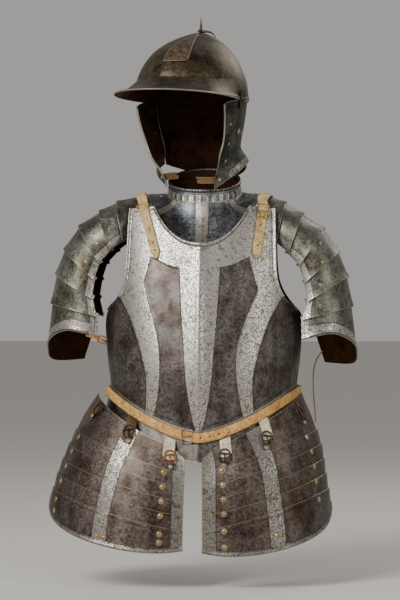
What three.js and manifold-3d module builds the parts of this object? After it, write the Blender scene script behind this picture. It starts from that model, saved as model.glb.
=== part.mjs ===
import * as THREE from 'three';
import { mergeVertices } from 'three/addons/utils/BufferGeometryUtils.js';
import Module from 'manifold-3d';

// A foot soldier's corselet of about 1600: open helmet, neck plates, breast and back, laminated arm
// defences and laminated thigh plates, in the shape that they have when they are worn.
// Lengths are millimetres. +Z is up and the front faces -Y. Left and right are as seen from the front.
// Z = 0 is the top of the shoulders, and X = 0 the middle of the breastplate.

const seam = 0.3;
const plateSteel = 2;
const lameSteel = 1.5;
const strapLeather = 2.6;
const sides = [{ name: 'left', sign: -1 }, { name: 'right', sign: 1 }];

const steel = new THREE.MeshStandardMaterial({ color: 0x5a524d, roughness: 0.45, metalness: 0.9 });
const brownSteel = new THREE.MeshStandardMaterial({ color: 0x4a4238, roughness: 0.5, metalness: 0.8 });
const lameFinish = new THREE.MeshStandardMaterial({ color: 0x6b625b, roughness: 0.45, metalness: 0.9 });
const rustyIron = new THREE.MeshStandardMaterial({ color: 0x7a4a2a, roughness: 0.8, metalness: 0.4 });
const tanLeather = new THREE.MeshStandardMaterial({ color: 0xc0955c, roughness: 0.7, metalness: 0 });
const beltLeather = new THREE.MeshStandardMaterial({ color: 0xb0783c, roughness: 0.7, metalness: 0 });

const corselet = new THREE.Group();
const wasm = await Module();
wasm.setup();

function radians(degrees) {
  return THREE.MathUtils.degToRad(degrees);
}

function mix(a, b, share) {
  return a + (b - a) * share;
}

// Evenly spaced values from one number to another.
function steps(from, to, count) {
  return Array.from({ length: count + 1 }, (_, i) => mix(from, to, i / count));
}

// The value of a column of a table between its rows, read as a smooth curve.
function read(table, key, place, column) {
  const last = table.length - 1;
  const at = THREE.MathUtils.clamp(place, table[0][key], table[last][key]);
  let row = table.findIndex((entry) => entry[key] > at) - 1;
  if (row < 0) row = last - 1;
  const slope = (i) => {
    const before = table[Math.max(i - 1, 0)];
    const after = table[Math.min(i + 1, last)];
    return (after[column] - before[column]) / (after[key] - before[key]);
  };
  const span = table[row + 1][key] - table[row][key];
  const t = (at - table[row][key]) / span;
  const a = table[row][column];
  const b = table[row + 1][column];
  const rise = slope(row) * span;
  const fall = slope(row + 1) * span;
  return a + t * (rise + t * (3 * (b - a) - 2 * rise - fall + t * (2 * (a - b) + rise + fall)));
}

// The same between straight lines, for plates that meet at a crease.
function readStraight(table, place, column) {
  const row = THREE.MathUtils.clamp(Math.floor(place), 0, table.length - 2);
  return mix(table[row][column], table[row + 1][column], place - row);
}

// A closed solid from a list of triangles: shared corners are merged and the faces turned outward.
function solid(triangles) {
  const places = new Map();
  const corners = [];
  const faces = [];
  const indexOf = (point) => {
    const key = point.toArray().map((value) => Math.round(value * 1000)).join(' ');
    if (!places.has(key)) {
      places.set(key, corners.length);
      corners.push(point);
    }
    return places.get(key);
  };
  let volume = 0;
  for (const triangle of triangles) {
    const [a, b, c] = triangle.map(indexOf);
    if (a === b || b === c || c === a) continue;
    volume += corners[a].dot(new THREE.Vector3().crossVectors(corners[b], corners[c]));
    faces.push([a, b, c]);
  }
  const geometry = new THREE.BufferGeometry();
  const index = faces.flatMap(([a, b, c]) => (volume > 0 ? [a, b, c] : [a, c, b]));
  geometry.setAttribute('position', new THREE.Float32BufferAttribute(corners.flatMap((p) => p.toArray()), 3));
  geometry.setIndex(index);
  geometry.computeVertexNormals();
  return geometry;
}

// A wall between two grids of points, closed by rims where the grid is open.
function wallBetween(outer, inner, round) {
  const triangles = [];
  const quad = (a, b, c, d) => triangles.push([a, b, c], [a, c, d]);
  const end = outer.length - 1;
  const width = outer[0].length;
  const last = width - 1;
  for (let c = 0; c < (round ? width : last); c += 1) {
    const next = (c + 1) % width;
    for (let r = 0; r < end; r += 1) {
      quad(outer[r][c], outer[r][next], outer[r + 1][next], outer[r + 1][c]);
      quad(inner[r][c], inner[r + 1][c], inner[r + 1][next], inner[r][next]);
    }
    quad(outer[0][next], outer[0][c], inner[0][c], inner[0][next]);
    quad(outer[end][c], outer[end][next], inner[end][next], inner[end][c]);
  }
  for (let r = 0; !round && r < end; r += 1) {
    quad(outer[r][0], outer[r + 1][0], inner[r + 1][0], inner[r][0]);
    quad(outer[r + 1][last], outer[r][last], inner[r][last], inner[r + 1][last]);
  }
  return solid(triangles);
}

// The directions that point out of a grid of points, away from a point inside the hollow.
function outward(grid, inside, round) {
  const end = grid.length - 1;
  const width = grid[0].length;
  const across = (r, c) => {
    const after = round ? (c + 1) % width : Math.min(c + 1, width - 1);
    const before = round ? (c + width - 1) % width : Math.max(c - 1, 0);
    return grid[r][after].clone().sub(grid[r][before]);
  };
  const along = (r, c) => grid[Math.min(r + 1, end)][c].clone().sub(grid[Math.max(r - 1, 0)][c]);
  const normals = grid.map((row, r) => row.map((_, c) => across(r, c).cross(along(r, c)).normalize()));
  const middle = [Math.floor(grid.length / 2), Math.floor(width / 2)];
  const away = grid[middle[0]][middle[1]].clone().sub(inside);
  const turn = normals[middle[0]][middle[1]].dot(away) < 0 ? -1 : 1;
  normals.forEach((row) => row.forEach((normal) => normal.multiplyScalar(turn)));
  normals.forEach((row, r) => {
    if (row.every((normal) => normal.lengthSq() > 0.5)) return;
    const near = normals[r === 0 ? 1 : r - 1];
    const mean = near.reduce((sum, normal) => sum.add(normal), new THREE.Vector3()).normalize();
    row.forEach((normal) => normal.copy(mean));
  });
  return normals;
}

// A plate of one thickness. point(u, v) is its outer face, or its inner face where it lies on another.
// raise(u, v) lifts the outer face alone, for a turned edge.
function plate({ point, across, along, thickness, inside, round = false, onTop = false, raise }) {
  const grid = along.map((v) => across.map((u) => point(u, v)));
  const normals = outward(grid, inside, round);
  const shifted = (amount) => grid.map((row, r) => row.map((p, c) => {
    const extra = raise && amount >= 0 ? raise(across[c], along[r]) : 0;
    return p.clone().addScaledVector(normals[r][c], amount + extra);
  }));
  if (onTop) return wallBetween(shifted(thickness), grid, round);
  return wallBetween(shifted(0), shifted(-thickness), round);
}

function add(name, geometry, material, parent = corselet) {
  const mesh = new THREE.Mesh(geometry, material);
  mesh.name = name;
  parent.add(mesh);
  return mesh;
}

// The body of the armour: half its width and its depth to the front and back, at each height.
const body = [
  { down: 10, half: 170, front: 80, back: 78 },
  { down: 40, half: 175, front: 97, back: 92 },
  { down: 83, half: 180, front: 112, back: 104 },
  { down: 150, half: 186, front: 132, back: 116 },
  { down: 230, half: 188.5, front: 148, back: 114 },
  { down: 300, half: 184, front: 158, back: 100 },
  { down: 350, half: 178, front: 160, back: 92 },
  { down: 437, half: 172, front: 150, back: 92 },
];
const squareness = 2.2;
const ridgeWidth = 15;
const ridge = [{ down: 60, height: 4 }, { down: 200, height: 9 }, { down: 437, height: 10 }];

// A point of the body's section: turn is 0 in the middle of the front or back and 90 at the side.
function bodyPoint(turn, down, facing, inset = 0) {
  const angle = radians(turn);
  const power = 2 / squareness;
  const x = Math.sign(turn) * (read(body, 'down', down, 'half') - inset) * Math.abs(Math.sin(angle)) ** power;
  const depth = read(body, 'down', down, facing < 0 ? 'front' : 'back') - inset;
  const y = Math.sign(Math.cos(angle)) * depth * Math.abs(Math.cos(angle)) ** power;
  const crest = facing < 0 ? read(ridge, 'down', down, 'height') * Math.exp(-Math.abs(x) / ridgeWidth) : 0;
  return new THREE.Vector3(x, facing * (y + crest), -down);
}

// The same point found from its distance from the middle.
function bodyAt(x, down, facing, inset = 0) {
  const share = Math.min(Math.abs(x) / (read(body, 'down', down, 'half') - inset), 1);
  const turn = THREE.MathUtils.radToDeg(Math.asin(share ** (squareness / 2)));
  return bodyPoint(Math.sign(x) * turn, down, facing, inset);
}

const bodyHeart = (down) => new THREE.Vector3(0, 0, -down);

// Breastplate: a scooped neck, arm openings and a waist that dips to a point.
const neckHalf = 93;
const neckDip = { side: 14, middle: 83, power: 2.3 };
const waistDip = { side: 351, middle: 432, half: 177, power: 1.6 };
const shoulderFall = 0.09;

function breastTop(x) {
  const far = Math.abs(x);
  if (far > neckHalf) return neckDip.side + (far - neckHalf) * shoulderFall;
  return mix(neckDip.middle, neckDip.side, (far / neckHalf) ** neckDip.power);
}

function waist(x) {
  const share = Math.min(Math.abs(x) / waistDip.half, 1.06);
  return mix(waistDip.middle, waistDip.side, share ** waistDip.power);
}

// How far round the side each plate reaches, from the shoulder (0) to the waist (1).
const breastEdge = [
  { v: 0, turn: 51 }, { v: 0.2, turn: 48.5 }, { v: 0.35, turn: 48 }, { v: 0.43, turn: 51 },
  { v: 0.49, turn: 57.5 }, { v: 0.555, turn: 70 }, { v: 0.64, turn: 80 }, { v: 0.74, turn: 85 },
  { v: 1, turn: 86 },
];
const turnedEdge = { height: 3.2, width: 8 };
const edgeRows = [0, 0.006, 0.014, 0.024];
const meanHalf = 180;

function breastPoint(u, v, lift = 0) {
  const turn = u * read(breastEdge, 'v', v, 'turn');
  const x = meanHalf * Math.abs(Math.sin(radians(turn))) ** (2 / squareness);
  return bodyPoint(turn, mix(breastTop(x), waist(x), v), -1, -lift);
}

// The rolled edge round the neck and the arm openings: a bead that fades into the plate.
function breastRaise(u, v) {
  const place = breastPoint(u, v);
  const fromNeck = (v * (waist(place.x) - breastTop(place.x))) / turnedEdge.width;
  const fromArm = ((1 - Math.abs(u)) * meanHalf) / turnedEdge.width;
  const bead = (distance) => (distance < 1 ? Math.sin(Math.PI * (0.25 + 0.75 * distance)) : 0);
  const neck = Math.abs(place.x) < neckHalf ? bead(fromNeck) : 0;
  const arm = v < 0.56 ? bead(fromArm) : 0;
  return turnedEdge.height * Math.max(neck, arm, 0);
}

const breastAcross = [-1, -0.985, -0.965, ...steps(-0.93, 0.93, 20), 0.965, 0.985, 1];
add('breastplate', plate({
  point: (u, v) => breastPoint(u, v),
  across: breastAcross,
  along: [...edgeRows, ...steps(0.08, 1, 10)],
  thickness: plateSteel,
  inside: bodyHeart(230),
  raise: breastRaise,
}), steel);

// Backplate: plain, and its sides pass under the breastplate's.
const backInset = 2.9;
const backEdge = [
  { v: 0, turn: 51 }, { v: 0.22, turn: 48 }, { v: 0.38, turn: 48 }, { v: 0.47, turn: 54 },
  { v: 0.54, turn: 66 }, { v: 0.6, turn: 84 }, { v: 0.68, turn: 96 }, { v: 1, turn: 98 },
];
const backNeck = { side: 16, middle: 34, half: 88 };
const backWaist = { side: 356, middle: 374 };

function backPoint(u, v, lift = 0) {
  const turn = u * read(backEdge, 'v', v, 'turn');
  const share = Math.abs(Math.sin(radians(turn))) ** (2 / squareness);
  const top = mix(backNeck.middle, backNeck.side, Math.min((share * meanHalf) / backNeck.half, 1) ** 2);
  return bodyPoint(turn, mix(top, mix(backWaist.middle, backWaist.side, share), v), 1, backInset - lift);
}

add('backplate', plate({
  point: (u, v) => backPoint(u, v),
  across: steps(-1, 1, 18),
  along: steps(0, 1, 10),
  thickness: plateSteel,
  inside: bodyHeart(230),
}), steel);

// The skirt below the waist flares from the breastplate's lower edge. The columns say how far it stands
// out: in front, and at the side for the waist plate and for each thigh plate.
const flare = [
  { drop: 0, front: 0, waist: 0, left: 0, right: 10 },
  { drop: 22, front: 3.5, waist: 3, left: 14, right: 15.5 },
  { drop: 60, front: 13, waist: 13, left: 40, right: 33 },
  { drop: 110, front: 26, waist: 30, left: 65, right: 51 },
  { drop: 170, front: 37, waist: 45, left: 89, right: 61 },
  { drop: 230, front: 44, waist: 60, left: 105, right: 71 },
  { drop: 290, front: 48, waist: 70, left: 114, right: 79 },
];

// A point of the skirt: turn goes round the front, drop is the distance below the waist edge.
function skirtPoint(turn, drop, lift, column) {
  const share = Math.abs(Math.sin(radians(turn)));
  const top = waist(meanHalf * share ** (2 / squareness));
  const at = bodyPoint(turn, top, -1);
  const direction = new THREE.Vector3(Math.sin(radians(turn)), -Math.cos(radians(turn)), 0);
  const out = mix(read(flare, 'drop', drop, 'front'), read(flare, 'drop', drop, column), share);
  at.addScaledVector(direction, out + lift);
  at.z = -(top + drop);
  return at;
}

// The waist plate is riveted under the breastplate's edge and carries the belt and the thigh plates.
const waistPlate = { top: 0.5, middle: 57, side: 44 };
const ridgeTurns = [-6, -3, -1.2, 0, 1.2, 3, 6];
const frontTurns = [...steps(-84, -12, 9), ...ridgeTurns, ...steps(12, 84, 9)];
add('waist_plate', plate({
  point: (turn, v) => {
    const bottom = mix(waistPlate.middle, waistPlate.side, Math.abs(turn) / 84);
    return skirtPoint(turn, mix(waistPlate.top, bottom, v), 0, 'waist');
  },
  across: frontTurns,
  along: [0, 0.35, 0.7, 1],
  thickness: lameSteel,
  inside: bodyHeart(430),
}), steel);

// The waist belt lies on the waist plate in front and ends on the backplate's sides.
const belt = { top: 3, width: 18.5, lift: 0.6, backLift: 1.5, down: 352, rise: 0.2 };
function beltPoint(turn, v) {
  const drop = belt.top + v * belt.width;
  const past = Math.abs(turn) - 84;
  if (past <= 0) return skirtPoint(turn, drop, belt.lift, 'waist');
  const fade = Math.max(1 - past / 28, 0);
  const out = (read(flare, 'drop', drop, 'waist') + 3) * fade;
  const at = bodyPoint(Math.sign(turn) * (180 - Math.abs(turn)), belt.down, 1, backInset - belt.backLift - out);
  if (Math.abs(turn) < 90) at.copy(bodyPoint(turn, belt.down, -1, -belt.lift - out));
  at.z = -(waistDip.side + drop) + past * belt.rise;
  return at;
}
add('waist_belt', plate({
  point: beltPoint,
  across: [...steps(-128, -90, 5), ...frontTurns, ...steps(90, 128, 5)],
  along: [0, 1],
  thickness: strapLeather,
  inside: bodyHeart(400),
  onTop: true,
}), beltLeather);

// Neck: two plates that stand on the shoulders under the breast and back, and two collar lames above.
const collar = { half: 66, front: 60, back: 60, centre: 10, riseFront: 16, riseBack: 62, lame: 11 };
const gorgetFoot = { half: 108, front: 105, side: -12, back: 80, part: 1.6, clear: 0.8 };

function neckTop(turn) {
  return mix(collar.riseFront, collar.riseBack, ((1 - Math.cos(radians(turn))) / 2) ** 1.2);
}

function neckPoint(turn, height, out) {
  const angle = radians(turn);
  const depth = Math.cos(angle) > 0 ? collar.front : collar.back;
  return new THREE.Vector3((collar.half + out) * Math.sin(angle),
    collar.centre - (depth + out) * Math.cos(angle), height);
}

function gorgetPoint(turn, v) {
  const angle = radians(turn);
  const [s, c] = [Math.sin(angle), Math.cos(angle)];
  const top = neckPoint(turn, neckTop(turn) - 2 * collar.lame, 4.6);
  const down = mix(gorgetFoot.side, c > 0 ? gorgetFoot.front : gorgetFoot.back, c * c);
  const inset = plateSteel + gorgetFoot.clear + (c < 0 ? backInset + gorgetFoot.clear : 0);
  const under = bodyAt(gorgetFoot.half * s, Math.max(down, 10), c > 0 ? -1 : 1, inset);
  const share = 1 - Math.abs(s) ** 8;
  const end = collar.centre - Math.sign(c) * gorgetFoot.part;
  const foot = new THREE.Vector3(gorgetFoot.half * s, mix(end, under.y, share), -down);
  const spread = v ** 1.7;
  return new THREE.Vector3(mix(top.x, foot.x, spread), mix(top.y, foot.y, spread), mix(top.z, foot.z, v));
}

for (const half of [{ name: 'front', from: -88.6, to: 88.6 }, { name: 'back', from: 91.4, to: 268.6 }]) {
  add(`gorget_${half.name}`, plate({
    point: gorgetPoint,
    across: steps(half.from, half.to, 18),
    along: steps(0, 1, 6),
    thickness: lameSteel,
    inside: bodyHeart(60),
  }), steel);
}

// The upper lame has the rolled rim at its top. The lower one lies outside it, above the gorget.
const rimRoll = 3;
const lames = [
  { name: 'collar_upper', top: 0, out: 0, roll: rimRoll },
  { name: 'collar_lower', top: 9, out: 3.2, roll: 0 },
];
for (const lame of lames) {
  add(lame.name, plate({
    point: (turn, v) => neckPoint(turn, neckTop(turn) - lame.top - v * (collar.lame + 1.5), lame.out + 1.2 * v),
    across: steps(0, 360 - 360 / 32, 31),
    along: [0, 0.2, 0.45, 1],
    thickness: lameSteel,
    inside: new THREE.Vector3(0, collar.centre, 0),
    round: true,
    raise: (turn, v) => (v > 0 && v < 0.3 ? lame.roll : 0),
  }), steel);
}

// Shoulder straps: from the breastplate over the shoulder to the backplate. x is the distance from the
// middle, and lean draws the front end in or out. The strap tips outward where it crosses the shoulder.
const strapWidth = 18;
const strapLift = 0.9;
const strapTip = 5.5;
const strapLean = { left: 1, right: 0.42 };
const strapTop = 120;
const strapRoute = [
  { x: 81, y: 0, down: 114, on: -1 }, { x: 85, y: 0, down: 96, on: -1 }, { x: 92, y: 0, down: 72, on: -1 },
  { x: 100, y: 0, down: 46, on: -1 }, { x: 106, y: 0, down: 28, on: -1 }, { x: 109, y: 0, down: 16, on: -1 },
  { x: 113, y: -54, down: 0.5, on: 0 }, { x: 117, y: -36, down: -6.8, on: 0 },
  { x: 120, y: -10, down: -10.2, on: 0 }, { x: 120, y: 20, down: -7.8, on: 0 },
  { x: 118, y: 46, down: 1, on: 0 }, { x: 114, y: 0, down: 17, on: 1 }, { x: 109, y: 0, down: 34, on: 1 },
  { x: 105, y: 0, down: 56, on: 1 }, { x: 102, y: 0, down: 76, on: 1 },
];
for (const side of sides) {
  add(`shoulder_strap_${side.name}`, plate({
    point: (u, v) => {
      const stop = strapRoute[v];
      const lean = stop.on < 0 ? strapLean[side.name] : 1;
      const x = side.sign * (strapTop + (stop.x - strapTop) * lean + u * strapWidth);
      if (!stop.on) return new THREE.Vector3(x, stop.y, -stop.down - u * strapTip);
      return bodyAt(x, stop.down, stop.on, -strapLift);
    },
    across: [-0.5, 0, 0.5],
    along: strapRoute.map((_, i) => i),
    thickness: strapLeather,
    inside: bodyHeart(120),
    onTop: true,
  }), tanLeather);
}

// Arm defences: each lame is an arc round the arm, open toward the armpit. A ring is the line where one
// lame ends over the next: reach is its distance from the middle, tilt the slope of its plane.
const armCentre = -5;
const armDrop = { left: 0, right: 6 };
const rings = [
  { reach: 125, down: -6.6, tilt: 86, half: 50, depth: 46 },
  { reach: 160, down: 5, tilt: 78, half: 54, depth: 63 },
  { reach: 193, down: 23, tilt: 71, half: 56, depth: 73 },
  { reach: 232, down: 51, tilt: 58, half: 59, depth: 75 },
  { reach: 260, down: 95, tilt: 43, half: 61, depth: 73 },
  { reach: 276, down: 142, tilt: 32, half: 63, depth: 71 },
  { reach: 284, down: 197, tilt: 15, half: 68, depth: 69 },
  { reach: 291, down: 275, tilt: -2, half: 72, depth: 70 },
  { reach: 298, down: 353, tilt: -8, half: 73, depth: 70 },
];
const lameOverlap = 0.25;
const lameStep = (lameSteel + 0.95) * (1 + lameOverlap);
const lameOpening = { top: 118, bottom: 110, rearEnd: 82 };
// The last lame's edge: short and arched in front, long behind.
const cuffEdge = [
  { turn: -118, length: 0.78 }, { turn: -95, length: 0.66 }, { turn: -65, length: 0.6 },
  { turn: -36, length: 0.76 }, { turn: 0, length: 1.04 }, { turn: 14, length: 1.26 },
  { turn: 30, length: 1.37 }, { turn: 60, length: 1.42 }, { turn: 118, length: 1.4 },
];

function armPoint(side, place, turn, lift) {
  const at = (column) => readStraight(rings, place, column);
  const tilt = radians(at('tilt'));
  const angle = radians(turn);
  const up = new THREE.Vector3(side.sign * Math.cos(tilt), 0, Math.sin(tilt));
  const centre = armCentre * Math.min(place, 1);
  const drop = armDrop[side.name] * Math.min(place / 2, 1) ** 1.2;
  const crest = new THREE.Vector3(centre + side.sign * at('reach'), 0, -at('down') - drop);
  const [half, depth] = [at('half'), at('depth')];
  const normal = up.clone().multiplyScalar(Math.cos(angle) / half);
  normal.y = Math.sin(angle) / depth;
  return crest.addScaledVector(up, half * (Math.cos(angle) - 1))
    .add(new THREE.Vector3(0, depth * Math.sin(angle), 0))
    .addScaledVector(normal.normalize(), lift);
}

const lameCount = 7;
for (const side of sides) {
  for (let i = 1; i <= lameCount; i += 1) {
    const top = i === 1 ? 0 : i - 1 - lameOverlap;
    const lameFace = (inset) => (u, v) => {
      const opening = mix(lameOpening.top, lameOpening.bottom, v);
      const rear = i === lameCount ? mix(lameOpening.top, lameOpening.rearEnd, v) : opening;
      const turn = u > 0 ? u * rear : u * opening;
      const length = i === lameCount ? read(cuffEdge, 'turn', turn, 'length') : 1;
      const middle = i - 1;
      const place = v < 0.5 ? mix(top, middle, v * 2) : mix(middle, middle + length, v * 2 - 1);
      return armPoint(side, place, turn, lameStep * ((place - top) / (i - top)) - inset);
    };
    const across = steps(-1, 1, 16);
    const along = i === 1 ? [0.5, 1] : i === lameCount ? [0, 0.5, 0.75, 1] : [0, 0.5, 1];
    const face = (inset) => along.map((v) => across.map((u) => lameFace(inset)(u, v)));
    add(`arm_${side.name}_lame_${i}`, wallBetween(face(0), face(lameSteel), false), lameFinish);
  }
}

// Thigh plates: each lame covers the one above it. Rows give the seams' distances below the waist edge
// at the inner and outer end. Each lame hangs below the skirt's flare.
const thighCentre = -8.5;
const thighRows = [
  { inner: 38, outer: 16 }, { inner: 76, outer: 84 }, { inner: 102, outer: 110 }, { inner: 128, outer: 138 },
  { inner: 154, outer: 166 }, { inner: 181, outer: 194 },
];
const hem = { left: { inner: 218, outer: 208 }, right: { inner: 222, outer: 226 } };
const thighEnd = { inner: 3.9, outer: 86 };
const hemBelly = 43;
const cutCorner = 14;
const thighLift = 0.8;
const thighBulge = 7;

function thighPoint(side, place, u, lift) {
  const row = (end) => readStraight([...thighRows, hem[side.name]], place, end);
  const belly = Math.max(place - 5, 0) * hemBelly * (1 - (1 - u) ** 3) * (1 - u ** 6);
  const corner = Math.max(1 - place, 0) * cutCorner * Math.max(1 - u / 0.08, 0);
  const turn = mix(thighEnd.inner, thighEnd.outer, u);
  const bulge = thighBulge * Math.sin(Math.PI * u) * Math.min(place / 2, 1);
  const drop = mix(row('inner'), row('outer'), u) + belly + corner;
  const at = skirtPoint(side.sign * turn, drop, thighLift + bulge + lift, side.name);
  at.x += thighCentre;
  return at;
}

const thighLames = 6;
const thighAcross = [0, 0.025, 0.08, ...steps(0.17, 0.89, 8), 0.96, 1];
for (const side of sides) {
  for (let i = 0; i < thighLames; i += 1) {
    const end = i === thighLames - 1 ? thighLames : i + 1 + lameOverlap;
    const along = i === thighLames - 1 ? [i, i + 0.35, i + 0.7, i + 0.9, end] : [i, i + 1, end];
    const face = (inset) => along.map((place) => thighAcross.map((u) => {
      const lift = lameStep * (1 - (place - i) / (1 + lameOverlap));
      return thighPoint(side, place, u, lift - inset);
    }));
    add(`thigh_${side.name}_lame_${i + 1}`, wallBetween(face(0), face(lameSteel), false), lameFinish);
  }
}

// Each thigh plate hangs from three leather tabs with buckles. The inner and middle ones start on the
// waist plate below the belt, and the outer one on the first lame at the belt's edge.
const hangers = [
  { name: 'inner', left: 0.1, right: 0.15, rows: [-1, -0.06, 0.2, 0.4, 0.62] },
  { name: 'middle', left: 0.39, right: 0.44, rows: [-1, -0.04, 0.2, 0.4, 0.62] },
  { name: 'outer', left: 0.78, right: 0.83, rows: [0.06, 0.24, 0.43, 0.62] },
];
const hangerSize = { width: 0.075, lift: 0.5, seat: 0.35, above: 10 };

// The turn at which the waist plate stands at a given x.
function waistTurn(x, drop) {
  let [low, high] = [-84, 84];
  for (let i = 0; i < 24; i += 1) {
    const middle = (low + high) / 2;
    if (skirtPoint(middle, drop, 0, 'waist').x < x) low = middle;
    else high = middle;
  }
  return low;
}

function hangerSeat(side, u) {
  const edge = mix(thighRows[0].inner, thighRows[0].outer, u);
  const drop = Math.max(edge - hangerSize.above, belt.top + belt.width + 3);
  return skirtPoint(waistTurn(thighPoint(side, 0, u, 0).x, drop), drop, hangerSize.seat, 'waist');
}

for (const side of sides) {
  for (const hanger of hangers) {
    add(`hanger_${side.name}_${hanger.name}`, plate({
      point: (u, v) => {
        const place = hanger[side.name] + u * hangerSize.width;
        if (v < -0.5) return hangerSeat(side, place);
        return thighPoint(side, v, place, lameStep * (1 - v / (1 + lameOverlap)) + hangerSize.lift);
      },
      across: [-0.5, 0, 0.5],
      along: hanger.rows,
      thickness: strapLeather,
      inside: bodyHeart(430),
      onTop: true,
    }), tanLeather);
  }
}

// Helmet: an open burgonet in its own frame, turned to the viewer's left and set on the neck.
const helmet = new THREE.Group();
helmet.position.set(-21, -35, 0);
helmet.rotation.z = radians(-24);
corselet.add(helmet);

const skull = { half: 102, length: 125, rim: 186, height: 132.5, peakFrom: 0.27, back: 35 };
const peak = { length: 199, rise: 9, spread: 1.45, dip: 0.8 };
const skullShape = [
  { lift: 0, reach: 1 }, { lift: 0.12, reach: 0.992 }, { lift: 0.27, reach: 0.965 }, { lift: 0.4, reach: 0.91 },
  { lift: 0.55, reach: 0.815 }, { lift: 0.68, reach: 0.7 }, { lift: 0.8, reach: 0.535 },
  { lift: 0.9, reach: 0.335 }, { lift: 0.97, reach: 0.14 }, { lift: 1, reach: 0 },
];
const combHeight = 4;

// turn is 0 at the front, and the lowest rows spread into the peak there.
function skullPoint(turn, lift) {
  const angle = radians(turn);
  const [s, c] = [Math.sin(angle), Math.cos(angle)];
  const front = Math.max(c, 0) ** peak.spread;
  const low = Math.max((skull.peakFrom - lift) / skull.peakFrom, 0);
  const reach = read(skullShape, 'lift', lift, 'reach') + (peak.length / skull.length - 1) * front * low;
  const comb = combHeight * Math.exp(-Math.abs(s) * 6) * Math.min(reach, 1) * (1 - low);
  const rim = skull.rim + peak.rise * front;
  const base = skull.rim + skull.height * skull.peakFrom;
  const lowZ = rim + (base - rim) * (1 - low) ** (1 + peak.dip * front);
  const z = low > 0 ? lowZ : skull.rim + skull.height * lift;
  const x = skull.half * reach * s;
  const y = -(skull.length * reach + comb) * c + skull.back * Math.max(lift, 0) ** 4;
  return new THREE.Vector3(x, y, z);
}

const skullHeart = new THREE.Vector3(0, 0, skull.rim + 20);
add('helmet_skull', plate({
  point: skullPoint,
  across: steps(0, 360 - 360 / 36, 35),
  along: [1, 0.97, 0.91, 0.82, 0.72, 0.6, 0.48, 0.37, 0.27, 0.2, 0.13, 0.065, 0],
  thickness: plateSteel,
  inside: skullHeart,
  round: true,
}), brownSteel, helmet);

// A small riveted plate covers the front of the skull's ridge.
const frontPlate = { clear: 0.7, thick: 1.4 };
add('helmet_front_plate', plate({
  point: (turn, lift) => {
    const at = skullPoint(turn, lift);
    return at.addScaledVector(at.clone().sub(skullHeart).normalize(), frontPlate.clear);
  },
  across: [-7, 0, 6, 12, 17],
  along: steps(0.82, 0.54, 4),
  thickness: frontPlate.thick,
  inside: skullHeart,
  onTop: true,
}), rustyIron, helmet);

// The finial: a turned foot and a thin point, on the peak of the skull.
const finial = [[0, 0], [7, 0], [6, 1.6], [2.6, 3.4], [2.2, 7], [1.6, 16], [0.6, 26], [0, 27]];
const finialMesh = add('helmet_finial', new THREE.LatheGeometry(
  finial.map(([radius, height]) => new THREE.Vector2(radius, height)), 12), brownSteel, helmet);
finialMesh.rotation.x = Math.PI / 2;
finialMesh.position.set(0, skull.back, skull.rim + skull.height + seam);

// Rings of the helmet below the rim, from the collar up: the cheek pieces end at the front turn.
const faceRings = [
  { z: 10, half: 72, length: 66, back: 70, centre: 50, front: 40 },
  { z: 35, half: 74, length: 62, back: 78, centre: 42, front: 42.5 },
  { z: 58, half: 76, length: 72, back: 92, centre: 28, front: 54.7 },
  { z: 82, half: 80, length: 100, back: 104, centre: 12, front: 67 },
  { z: 106, half: 85.5, length: 118, back: 110, centre: 3, front: 74 },
  { z: 148, half: 96, length: 119, back: 117, centre: -2, front: 71 },
  { z: 186, half: 101.3, length: 121, back: 123, centre: -3, front: 67.5 },
];
const cheek = {
  top: 185.3, frontTop: 173, leftFoot: 24, rightFoot: 16, rearFoot: 72, rear: 110, frontFlare: 5,
  rearFlare: 19, fade: 20,
};

// A point of a face ring, with the collar's flare where it lies close above the foot.
function facePoint(sign, turn, z, foot, flareOut, inset = 0) {
  const angle = radians(turn);
  const [s, c] = [Math.sin(angle), Math.cos(angle)];
  const ring = (column) => read(faceRings, 'z', z, column);
  const out = flareOut * Math.exp(-(((z - foot) / cheek.fade) ** 2)) - inset;
  const depth = ring(c > 0 ? 'length' : 'back') + out;
  return new THREE.Vector3(sign * (ring('half') + out) * s, ring('centre') - depth * c, z);
}

function cheekPoint(sign, u, v) {
  const foot = mix(sign < 0 ? cheek.leftFoot : cheek.rightFoot, cheek.rearFoot, u ** 0.8);
  const z = mix(mix(cheek.frontTop, cheek.top, Math.min(u / 0.55, 1) ** 0.6), foot, v);
  const turn = mix(read(faceRings, 'z', z, 'front'), cheek.rear, u);
  return facePoint(sign, turn, z, foot, mix(cheek.frontFlare, cheek.rearFlare, u));
}

// Hinge: a leaf on the skull and one on the cheek piece, with knuckles on one pin line.
const hinge = { x: 105, y: 8, z: 186.6, radius: 2.2, width: 18, knuckle: 5.6, leaf: 1.5 };
const chinTab = { from: 58, to: 16, width: 11, leftInset: 2.9, rightInset: 1.1, left: 43.5, right: 34 };

function box(x, y, z) {
  const geometry = new THREE.BoxGeometry(x[1] - x[0], y[1] - y[0], z[1] - z[0]);
  return geometry.translate((x[0] + x[1]) / 2, (y[0] + y[1]) / 2, (z[0] + z[1]) / 2);
}

function knuckle(from, to) {
  return new THREE.CylinderGeometry(hinge.radius, hinge.radius, to - from, 14)
    .translate(hinge.x, (from + to) / 2, 0).translate(0, 0, hinge.z);
}

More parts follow.
